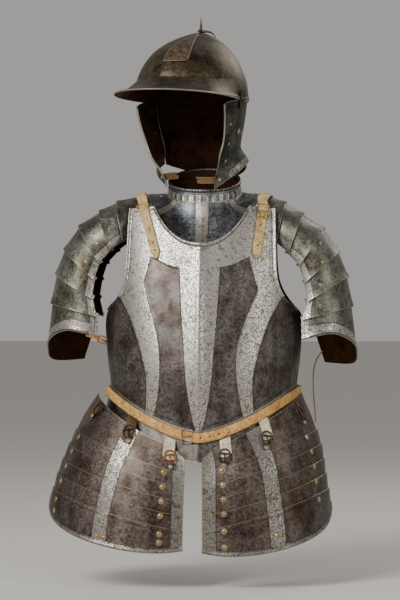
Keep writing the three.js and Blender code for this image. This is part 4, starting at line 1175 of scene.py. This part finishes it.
patch_iron = rough_iron("rusty_patch_iron", ((0.35, "#33271D"), (0.5, "#524132"), (0.65, "#6C5944")))
rusty_iron = rough_iron("rusty_buckle_iron", ((0.35, "#5A3519"), (0.5, "#8C5A2C"), (0.65, "#B07F46")), 0.45)
brown_black = ((0.35, "#2C241E"), (0.5, "#473B30"), (0.65, "#665645"))
dark_iron = rough_iron("dark_brown_iron", brown_black, 0.8)
hinge_iron = rough_iron("dark_hinge_iron", brown_black, 0.8, 0.0)
wire_iron = rough_iron("pale_wire_iron", ((0.35, "#6B655A"), (0.5, "#989186"), (0.65, "#B8B1A4")), 0.9)
mesh = plate_mesh("helmet_front_patch", front_plate_point, near_ends(24, 0.8, 2, 50),
                  near_ends(40, 0.8, 2, 70), 1.4, skull_heart, on_top=True)
piece("helmet_front_patch", mesh, patch_iron, "armour", "rusty_iron", "helmet_front_plate")

# Finial: a thin spike on a turned foot at the top of the comb, with a small hooked bud behind it.
finial_at = on_helmet((0, skull["back"], skull["rim"] + skull["height"] + 0.3))
finial = table("radius height", (0.01, 0), (7, 0), (6.6, 1), (5, 2.2), (3.2, 3.6), (2.6, 7), (2.1, 13),
               (1.4, 20), (0.7, 26), (0.01, 27.2))
radii, heights = finial["radius"], finial["height"]
path = finial_at + np.stack([0.9 * np.sin(heights / 27 * 3), 0 * heights, heights], -1)
finial_mesh = tube_mesh("finial_spike", path, 1.0, False, 24,
                        lambda along, angle: np.interp(along, heights, radii) + 0 * angle)
piece("finial_spike", add_values(finial_mesh, edge=9.0, dark=9.0, groove=9.0), helmet_steel, "armour",
      "helmet_steel", "helmet_finial")


bud_share = np.linspace(0, 1, 18)
bud_turn = 122
bud = skull_point(np.full_like(bud_share, bud_turn), 0.992 - 0.082 * bud_share)
bud += unit(bud - skull_heart) * (1.2 + 4.5 * np.sin(np.pi * (1 - bud_share) * 0.9))[:, None]
bud_mesh = tube_mesh("finial_bud", bud, 1.0, False, 14,
                     lambda along, angle: mix(2.8, 0.7, along / along.max()) + 0 * angle)
piece("finial_bud", add_values(bud_mesh, edge=9.0), patch_iron, "armour", "rusty_iron")

# Hinge leaves and knuckles keep their CAD form and take an old iron finish.
for side in sides:
    for name in (f"hinge_skull_{side}", f"hinge_cheek_{side}"):
        node = bpy.data.objects[name]
        for holder in node.material_slots:
            holder.material = hinge_iron

# Rivets: domed heads on thin washers, placed by one node tree that reads their aim and size. Those on arms
# and thighs are old brass, tarnished in spots and rubbed to a soft shine on their domes.
tarnish_size = 3
old_brass, brass_tree, brass_shader = new_material("rubbed_old_brass", 1.0)
brass_at = add(brass_tree, "ShaderNodeTexCoord").outputs["Object"]
tarnish = add(brass_tree, "ShaderNodeTexNoise", {"Scale": 1 / (tarnish_size * mm), "Detail": 3.0},
              {"Vector": brass_at}).outputs[0]
brass_tree.links.new(ramp(brass_tree, tarnish, (0.35, "#7A6030"), (0.5, "#B5944E"), (0.65, "#DDC384")),
                     brass_shader.inputs["Base Color"])
brass_tree.links.new(to_range(brass_tree, tarnish, 0.3, 0.7, 0.45, 0.26), brass_shader.inputs["Roughness"])


def rivet_tree():
    tree = bpy.data.node_groups.new("domed_rivets", "GeometryNodeTree")
    face = tree.interface
    sockets = {"points": face.new_socket("Points", in_out="INPUT", socket_type="NodeSocketGeometry"),
               "head": face.new_socket("Head radius", in_out="INPUT", socket_type="NodeSocketFloat"),
               "rise": face.new_socket("Head rise", in_out="INPUT", socket_type="NodeSocketFloat"),
               "metal": face.new_socket("Head metal", in_out="INPUT", socket_type="NodeSocketMaterial"),
               "washer": face.new_socket("Washer metal", in_out="INPUT", socket_type="NodeSocketMaterial")}
    face.new_socket("Rivets", in_out="OUTPUT", socket_type="NodeSocketGeometry")
    given = tree.nodes.new("NodeGroupInput").outputs
    size = add(tree, "GeometryNodeInputNamedAttribute", {".data_type": "FLOAT", "Name": "size"}).outputs[0]
    aim = add(tree, "GeometryNodeInputNamedAttribute", {".data_type": "FLOAT_VECTOR", "Name": "aim"})
    aim = aim.outputs[0]
    turn = add(tree, "FunctionNodeAlignRotationToVector", {".axis": "Z"}, {"Vector": aim}).outputs[0]
    scale = add(tree, "ShaderNodeMath", {".operation": "MULTIPLY"},
                {"0": size, "1": given["Head radius"]}).outputs[0]
    flat = add(tree, "ShaderNodeCombineXYZ", {"X": 1.0, "Y": 1.0}, {"Z": given["Head rise"]}).outputs[0]
    ball = add(tree, "GeometryNodeMeshUVSphere", {"Segments": 20, "Rings": 12, "Radius": 1.0})
    ball = ball.outputs["Mesh"]
    dome = add(tree, "GeometryNodeTransform", None, {"Geometry": ball, "Scale": flat}).outputs[0]
    dome = add(tree, "GeometryNodeSetShadeSmooth", None, {"Geometry": dome}).outputs[0]
    disc = add(tree, "GeometryNodeMeshCylinder", {"Vertices": 20, "Radius": 1.4, "Depth": 0.3})
    disc = disc.outputs["Mesh"]
    parts = []
    for shape, metal in ((dome, "Head metal"), (disc, "Washer metal")):
        links = {"Points": given["Points"], "Instance": shape, "Rotation": turn, "Scale": scale}
        placed = add(tree, "GeometryNodeInstanceOnPoints", None, links).outputs[0]
        solid = add(tree, "GeometryNodeRealizeInstances", None, {"Geometry": placed}).outputs[0]
        parts.append(add(tree, "GeometryNodeSetMaterial", None,
                         {"Geometry": solid, "Material": given[metal]}).outputs[0])
    join = tree.nodes.new("GeometryNodeJoinGeometry")
    for part in parts:
        tree.links.new(part, join.inputs[0])
    tree.links.new(join.outputs[0], tree.nodes.new("NodeGroupOutput").inputs[0])
    return tree, sockets


rivets_tree, rivet_sockets = rivet_tree()


def on_surface(point, u, v, inside, out):
    """A point on a plate with its outward direction, both in mm."""
    u, v = np.array([u], float), np.array([v], float)
    small = 1e-3
    along = point(u + small, v) - point(u - small, v)
    down = point(u, v + small) - point(u, v - small)
    normal = unit(np.cross(along, down))
    at = point(u, v)
    if np.dot(normal[0], at[0] - np.array(inside)) < 0:
        normal = -normal
    return at[0] + normal[0] * out, normal[0]


def rivets(name, places, radius, metal, body, rise=0.6):
    """Rivets at (point, direction, size) places, as one mesh that rides on a body."""
    mesh = bpy.data.meshes.new(f"{name}_points")
    mesh.from_pydata([tuple(p * mm) for p, _, _ in places], [], [])
    aim = mesh.attributes.new("aim", "FLOAT_VECTOR", "POINT")
    aim.data.foreach_set("vector", np.array([n for _, n, _ in places], np.float32).ravel())
    size = mesh.attributes.new("size", "FLOAT", "POINT")
    size.data.foreach_set("value", np.array([s for _, _, s in places], np.float32))
    seeds = bpy.data.objects.new(f"{name}_points", mesh)
    bpy.context.collection.objects.link(seeds)
    modifier = seeds.modifiers.new("rivets", "NODES")
    modifier.node_group = rivets_tree
    modifier[rivet_sockets["head"].identifier] = radius * mm
    modifier[rivet_sockets["rise"].identifier] = rise
    modifier[rivet_sockets["metal"].identifier] = metal
    modifier[rivet_sockets["washer"].identifier] = dark_iron
    shown = seeds.evaluated_get(bpy.context.evaluated_depsgraph_get())
    made = bpy.data.meshes.new_from_object(shown)
    bpy.data.objects.remove(seeds)
    made.name = name
    thing = bpy.data.objects.new(name, made)
    bpy.context.collection.objects.link(thing)
    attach(thing, body)


def thigh_face(side):
    """The outer face of a thigh plate, with each lame's step, for what is fixed on it."""
    def point(u, place):
        i = np.minimum(np.floor(place), thigh_lames - 1)
        return thigh_point(side, place, u, lame_step * (1 - (place - i) / (1 + overlap)))
    return point


outer_column = {"left": 0.79, "right": 0.75}
first_rivet = {"left": 0.28, "right": 0.15}
thigh_extra = {"left": [(0.79, 5.7), (0.118, 5.6), (0.4, 5.75), (0.44, 5.77)],
               "right": [(0.41, 5.6), (0.118, 5.7)]}
heads = []
for side in sides:
    spots = [(u, first_rivet[side] + i) for i in range(1, thigh_lames) for u in (outer_column[side], 0.118)]
    for u, place in spots + thigh_extra[side]:
        heads.append(on_surface(thigh_face(side), u, place, (0, 0, -430), 0.2) + (1.0,))
rivets("thigh_rivets", heads, 4.0, old_brass, "armour")

arm_rivets = {-1: [(2, -0.69, 0.81), (3, -0.74, 0.76), (4, -0.76, 0.79), (5, -0.75, 0.84), (6, -0.84, 0.78)],
              1: [(3, -0.4, 0.62), (4, -0.44, 0.62), (4, -0.6, 0.93), (5, -0.73, 0.82), (6, -0.74, 0.79),
                  (7, -0.88, 0.78)]}
heads = []
for sign, spots in arm_rivets.items():
    for i, u, v in spots:
        heart = arm_point(sign, np.array(i - 0.5), np.array(0.0), -60.0)
        for at_u in (u, -u):
            heads.append(on_surface(arm_lame(sign, i), at_u, v, heart, 0.2) + (1.0,))
rivets("arm_rivets", heads, 2.6, old_brass, "armour")

heads = [on_surface(gorget_point, turn, v, (0, 0, -60), 0.2) + (1.0,)
         for turn, v in ((-77, 0.53), (77, 0.53), (-7, 0.42), (5, 0.42), (-40, 0.06), (40, 0.06), (180, 0.2))]
heads += [on_surface(back_point, u, v, (0, 0, -230), 0.2) + (1.2,)
          for u, v in ((-0.85, 0.8), (0.85, 0.8), (-0.62, 0.12), (0.62, 0.12))]
rivets("body_rivets", heads, 2.4, wire_iron, "armour")

cheek_rivets = [(0.23, 0.29, 1.0), (0.69, 0.46, 1.9), (0.95, 0.52, 1.1), (0.25, 0.54, 1.0), (0.24, 0.75, 1.0),
                (0.1, 0.93, 1.0)]
edge_rivets = [(0.03, 0.18, 1.0), (0.03, 0.39, 1.0), (0.03, 0.58, 1.0)]
for side, sign in sides.items():
    spots = cheek_rivets + (edge_rivets if side == "left" else [])
    heads = [on_surface(cheek_point(sign), u, v, helmet_inner_heart, 0.3) + (size,) for u, v, size in spots]
    rivets(f"cheek_rivets_{side}", heads, 2.2, wire_iron, f"cheek_{side}")
heads = [on_surface(lambda turn, v: skull_point(turn, 1 - v), turn, 0.955, skull_heart, 0.2) + (1.0,)
         for turn in range(100, 270, 20)]
rivets("helmet_rim_rivets", heads, 2.2, wire_iron, "armour")

# Buckles: small forged frames with a bar and a tongue. The thigh plates have six of dark iron, each an oval
# with a bar, a tongue and a brass rivet below, the belt one of wire and the right strap one of brass.
def frame_axes(point, u, v, inside, out, lean):
    """A flat frame on a surface: its middle, its side and its down directions, turned by lean degrees."""
    at, normal = on_surface(point, u, v, inside, out)
    down = point(np.array([u]), np.array([v + 1e-3]))[0] - point(np.array([u]), np.array([v - 1e-3]))[0]
    down = unit(down - normal * np.dot(down, normal))
    side = np.cross(normal, down)
    c, s = math.cos(math.radians(lean)), math.sin(math.radians(lean))
    return at, side * c + down * s, down * c - side * s, normal


def buckle(name, axes, lines, radius, metal, slot, body="armour"):
    """Joins bent bars into one mesh. Each line is a list of (across, down, up) places and whether it
    closes on itself."""
    at, side, down, normal = axes
    points, faces = [], []
    for places, closed in lines:
        places = np.array(places, float)
        path = at + places[:, :1] * side + places[:, 1:2] * down + places[:, 2:] * normal
        bar = tube_mesh(f"{name}_bar", path, radius, closed, 10)
        start = len(points)
        points += [tuple(v.co) for v in bar.vertices]
        faces += [tuple(start + i for i in p.vertices) for p in bar.polygons]
        bpy.data.meshes.remove(bar)
    mesh = bpy.data.meshes.new(name)
    mesh.from_pydata(points, [], faces)
    mesh.shade_smooth()
    piece(name, add_values(mesh, edge=9.0), metal, body, slot)


def oval(wide, high, up=0.0, power=2.5, centre=0.0, count=36):
    angle = np.linspace(0, 2 * np.pi, count, endpoint=False)
    c, s = np.cos(angle), np.sin(angle)
    x = wide / 2 * np.sign(c) * np.abs(c) ** (2 / power)
    y = centre + high / 2 * np.sign(s) * np.abs(s) ** (2 / power)
    return np.stack([x, y, up + 0 * x], -1), True


ring_buckles = {"left": [(0.725, 0.2, 20), (0.385, 0.24, -14), (0.09, 0.5, -8)],
                "right": [(0.14, 0.55, 8), (0.425, 0.55, 14), (0.765, 0.41, -14)]}
over = strap_leather + 2.2
for side, spots in ring_buckles.items():
    heads = []
    for count, (u, place, lean) in enumerate(spots, 1):
        axes = frame_axes(thigh_face(side), u, place, (0, 0, -430), over, lean)
        lines = [oval(20, 25, 0.6, 2.4, -1), ([(-9.5, -5, 0.4), (0, -5, 1.0), (9.5, -5, 0.4)], False),
                 ([(-1, -6, 2.2), (0.5, 2, 3.4), (2, 12.5, 2.2)], False)]
        metal = rusty_iron if (side, count) == ("left", 3) else dark_iron
        buckle(f"ring_buckle_{side}_{count}", axes, lines, 1.35, metal, "rusty_iron")
        at, right, down, normal = axes
        heads.append((at + down * 17 - normal * 1.2, normal, 1.0))
    rivets(f"buckle_rivets_{side}", heads, 3.2, old_brass, "armour")

belt_heart = (0, 0, -400)
axes = frame_axes(belt_point, -5.5, 0.5, belt_heart, strap_leather + 3.4, 0)
waist_frame = np.array([(-10, -12, 0), (10, -12, 0), (10, 12, 0), (-10, 12, 0)])
buckle("waist_buckle", axes, [(waist_frame, True), ([(-10, 0, 0.3), (0, 0, 2), (10.5, 0, 1.4)], False)], 1.2,
       wire_iron, "rusty_iron")


def strap_face(u, v):
    return body_at(u, v, -1, -strap["lift"])


keeper_spots = {"left": (-110.5, 14), "right": (114.5, 14)}
for side, (x, down) in keeper_spots.items():
    axes = frame_axes(strap_face, x, down, (0, 0, -120), strap_leather / 2 + 0.3, 0)
    buckle(f"strap_keeper_{side}", axes, [oval(23, 5.5, 0, 4.5)], 1.6, tan_leather, "tan_leather")
axes = frame_axes(strap_face, 114.8, 31, (0, 0, -120), strap_leather + 1.4, 0)
buckle("strap_buckle_right", axes, [oval(21, 15, 0, 3.5), ([(0, 7, 0.4), (0, 0, 1.5), (0, -7.5, 0.8)], False)],
       1.2, old_brass, "brass")

# The left cuff's buckle: a rectangular rusty frame on a riveted iron tongue at the front of the last lame.
cuff_buckle = {"place": 6.64, "from_end": 4.0, "lift": 3.2, "down": 4, "lean": 24}
cuff_turn = cuff_buckle["from_end"] - arm_opening["bottom"]
cuff_at = arm_point(-1, np.array([cuff_buckle["place"]]), np.array([cuff_turn]), cuff_buckle["lift"])[0]
cuff_at = cuff_at - np.array([0, 0, cuff_buckle["down"]])
lean = math.radians(cuff_buckle["lean"])
cuff_axes = (cuff_at, np.array([math.cos(lean), 0, math.sin(-lean)]),
             np.array([-math.sin(lean), 0, -math.cos(lean)]), np.array([0, -1.0, 0]))
cuff_frame = oval(16, 12, 1.8, 6)[0] + np.array([17, 0, 0])
cuff_prong = [(9.5, 0, 2.2), (17, 0, 3.6), (25, 0, 3.0)]
buckle("arm_buckle_frame", cuff_axes, [(cuff_frame, True), (cuff_prong, False)], 1.5, rusty_iron, "rusty_iron")


def tongue_point(u, v):
    at, side, down, normal = cuff_axes
    along = mix(-14, 11, v)
    wide = mix(6.5, 3.6, np.clip(v * 1.3, 0, 1)) * u
    return at + along[..., None] * side + wide[..., None] * down + (0.2 + 1.6 * v)[..., None] * normal


mesh = plate_mesh("arm_buckle_tongue", tongue_point, np.linspace(-1, 1, 11), near_ends(20, 0.6, 2, 24), 1.6,
                  cuff_at + np.array([0, 60, 0]))
piece("arm_buckle_tongue", mesh, rusty_iron, "armour", "rusty_iron", "arm_buckle")

# Floor, backdrop light and three soft studio lights.
floor_down = -0.72
floor_mesh = bpy.data.meshes.new("floor")
floor_mesh.from_pydata([(-30, -30, floor_down), (30, -30, floor_down), (30, 30, floor_down),
                        (-30, 30, floor_down)], [], [(0, 1, 2, 3)])
floor = bpy.data.objects.new("floor", floor_mesh)
bpy.context.collection.objects.link(floor)
floor_material, _, floor_shader = new_material("pale_floor", 0.0)
floor_shader.inputs["Base Color"].default_value = hex_colour("#CFCBC4")
floor_shader.inputs["Roughness"].default_value = 0.8
floor_mesh.materials.append(floor_material)

world = bpy.data.worlds.new("studio")
world.use_nodes = True
world.node_tree.nodes["Background"].inputs["Color"].default_value = hex_colour("#E4E2DE")
world.node_tree.nodes["Background"].inputs["Strength"].default_value = 0.5
bpy.context.scene.world = world


def softbox(name, at, aim, size, power):
    light = bpy.data.lights.new(name, "AREA")
    light.shape = "RECTANGLE"
    light.size, light.size_y = size
    light.energy = power
    holder = bpy.data.objects.new(name, light)
    holder.location = at
    holder.rotation_euler = (Vector(aim) - Vector(at)).to_track_quat("-Z", "Y").to_euler()
    bpy.context.collection.objects.link(holder)


softbox("key_light", (-1.7, -2.6, 1.7), (0, 0, -0.15), (1.3, 1.7), 122)
softbox("fill_light", (2.5, -2.0, 0.7), (0, 0, -0.2), (1.0, 1.8), 20)
softbox("rim_light", (1.6, 2.0, 1.8), (0, 0, -0.1), (1.4, 1.4), 26)
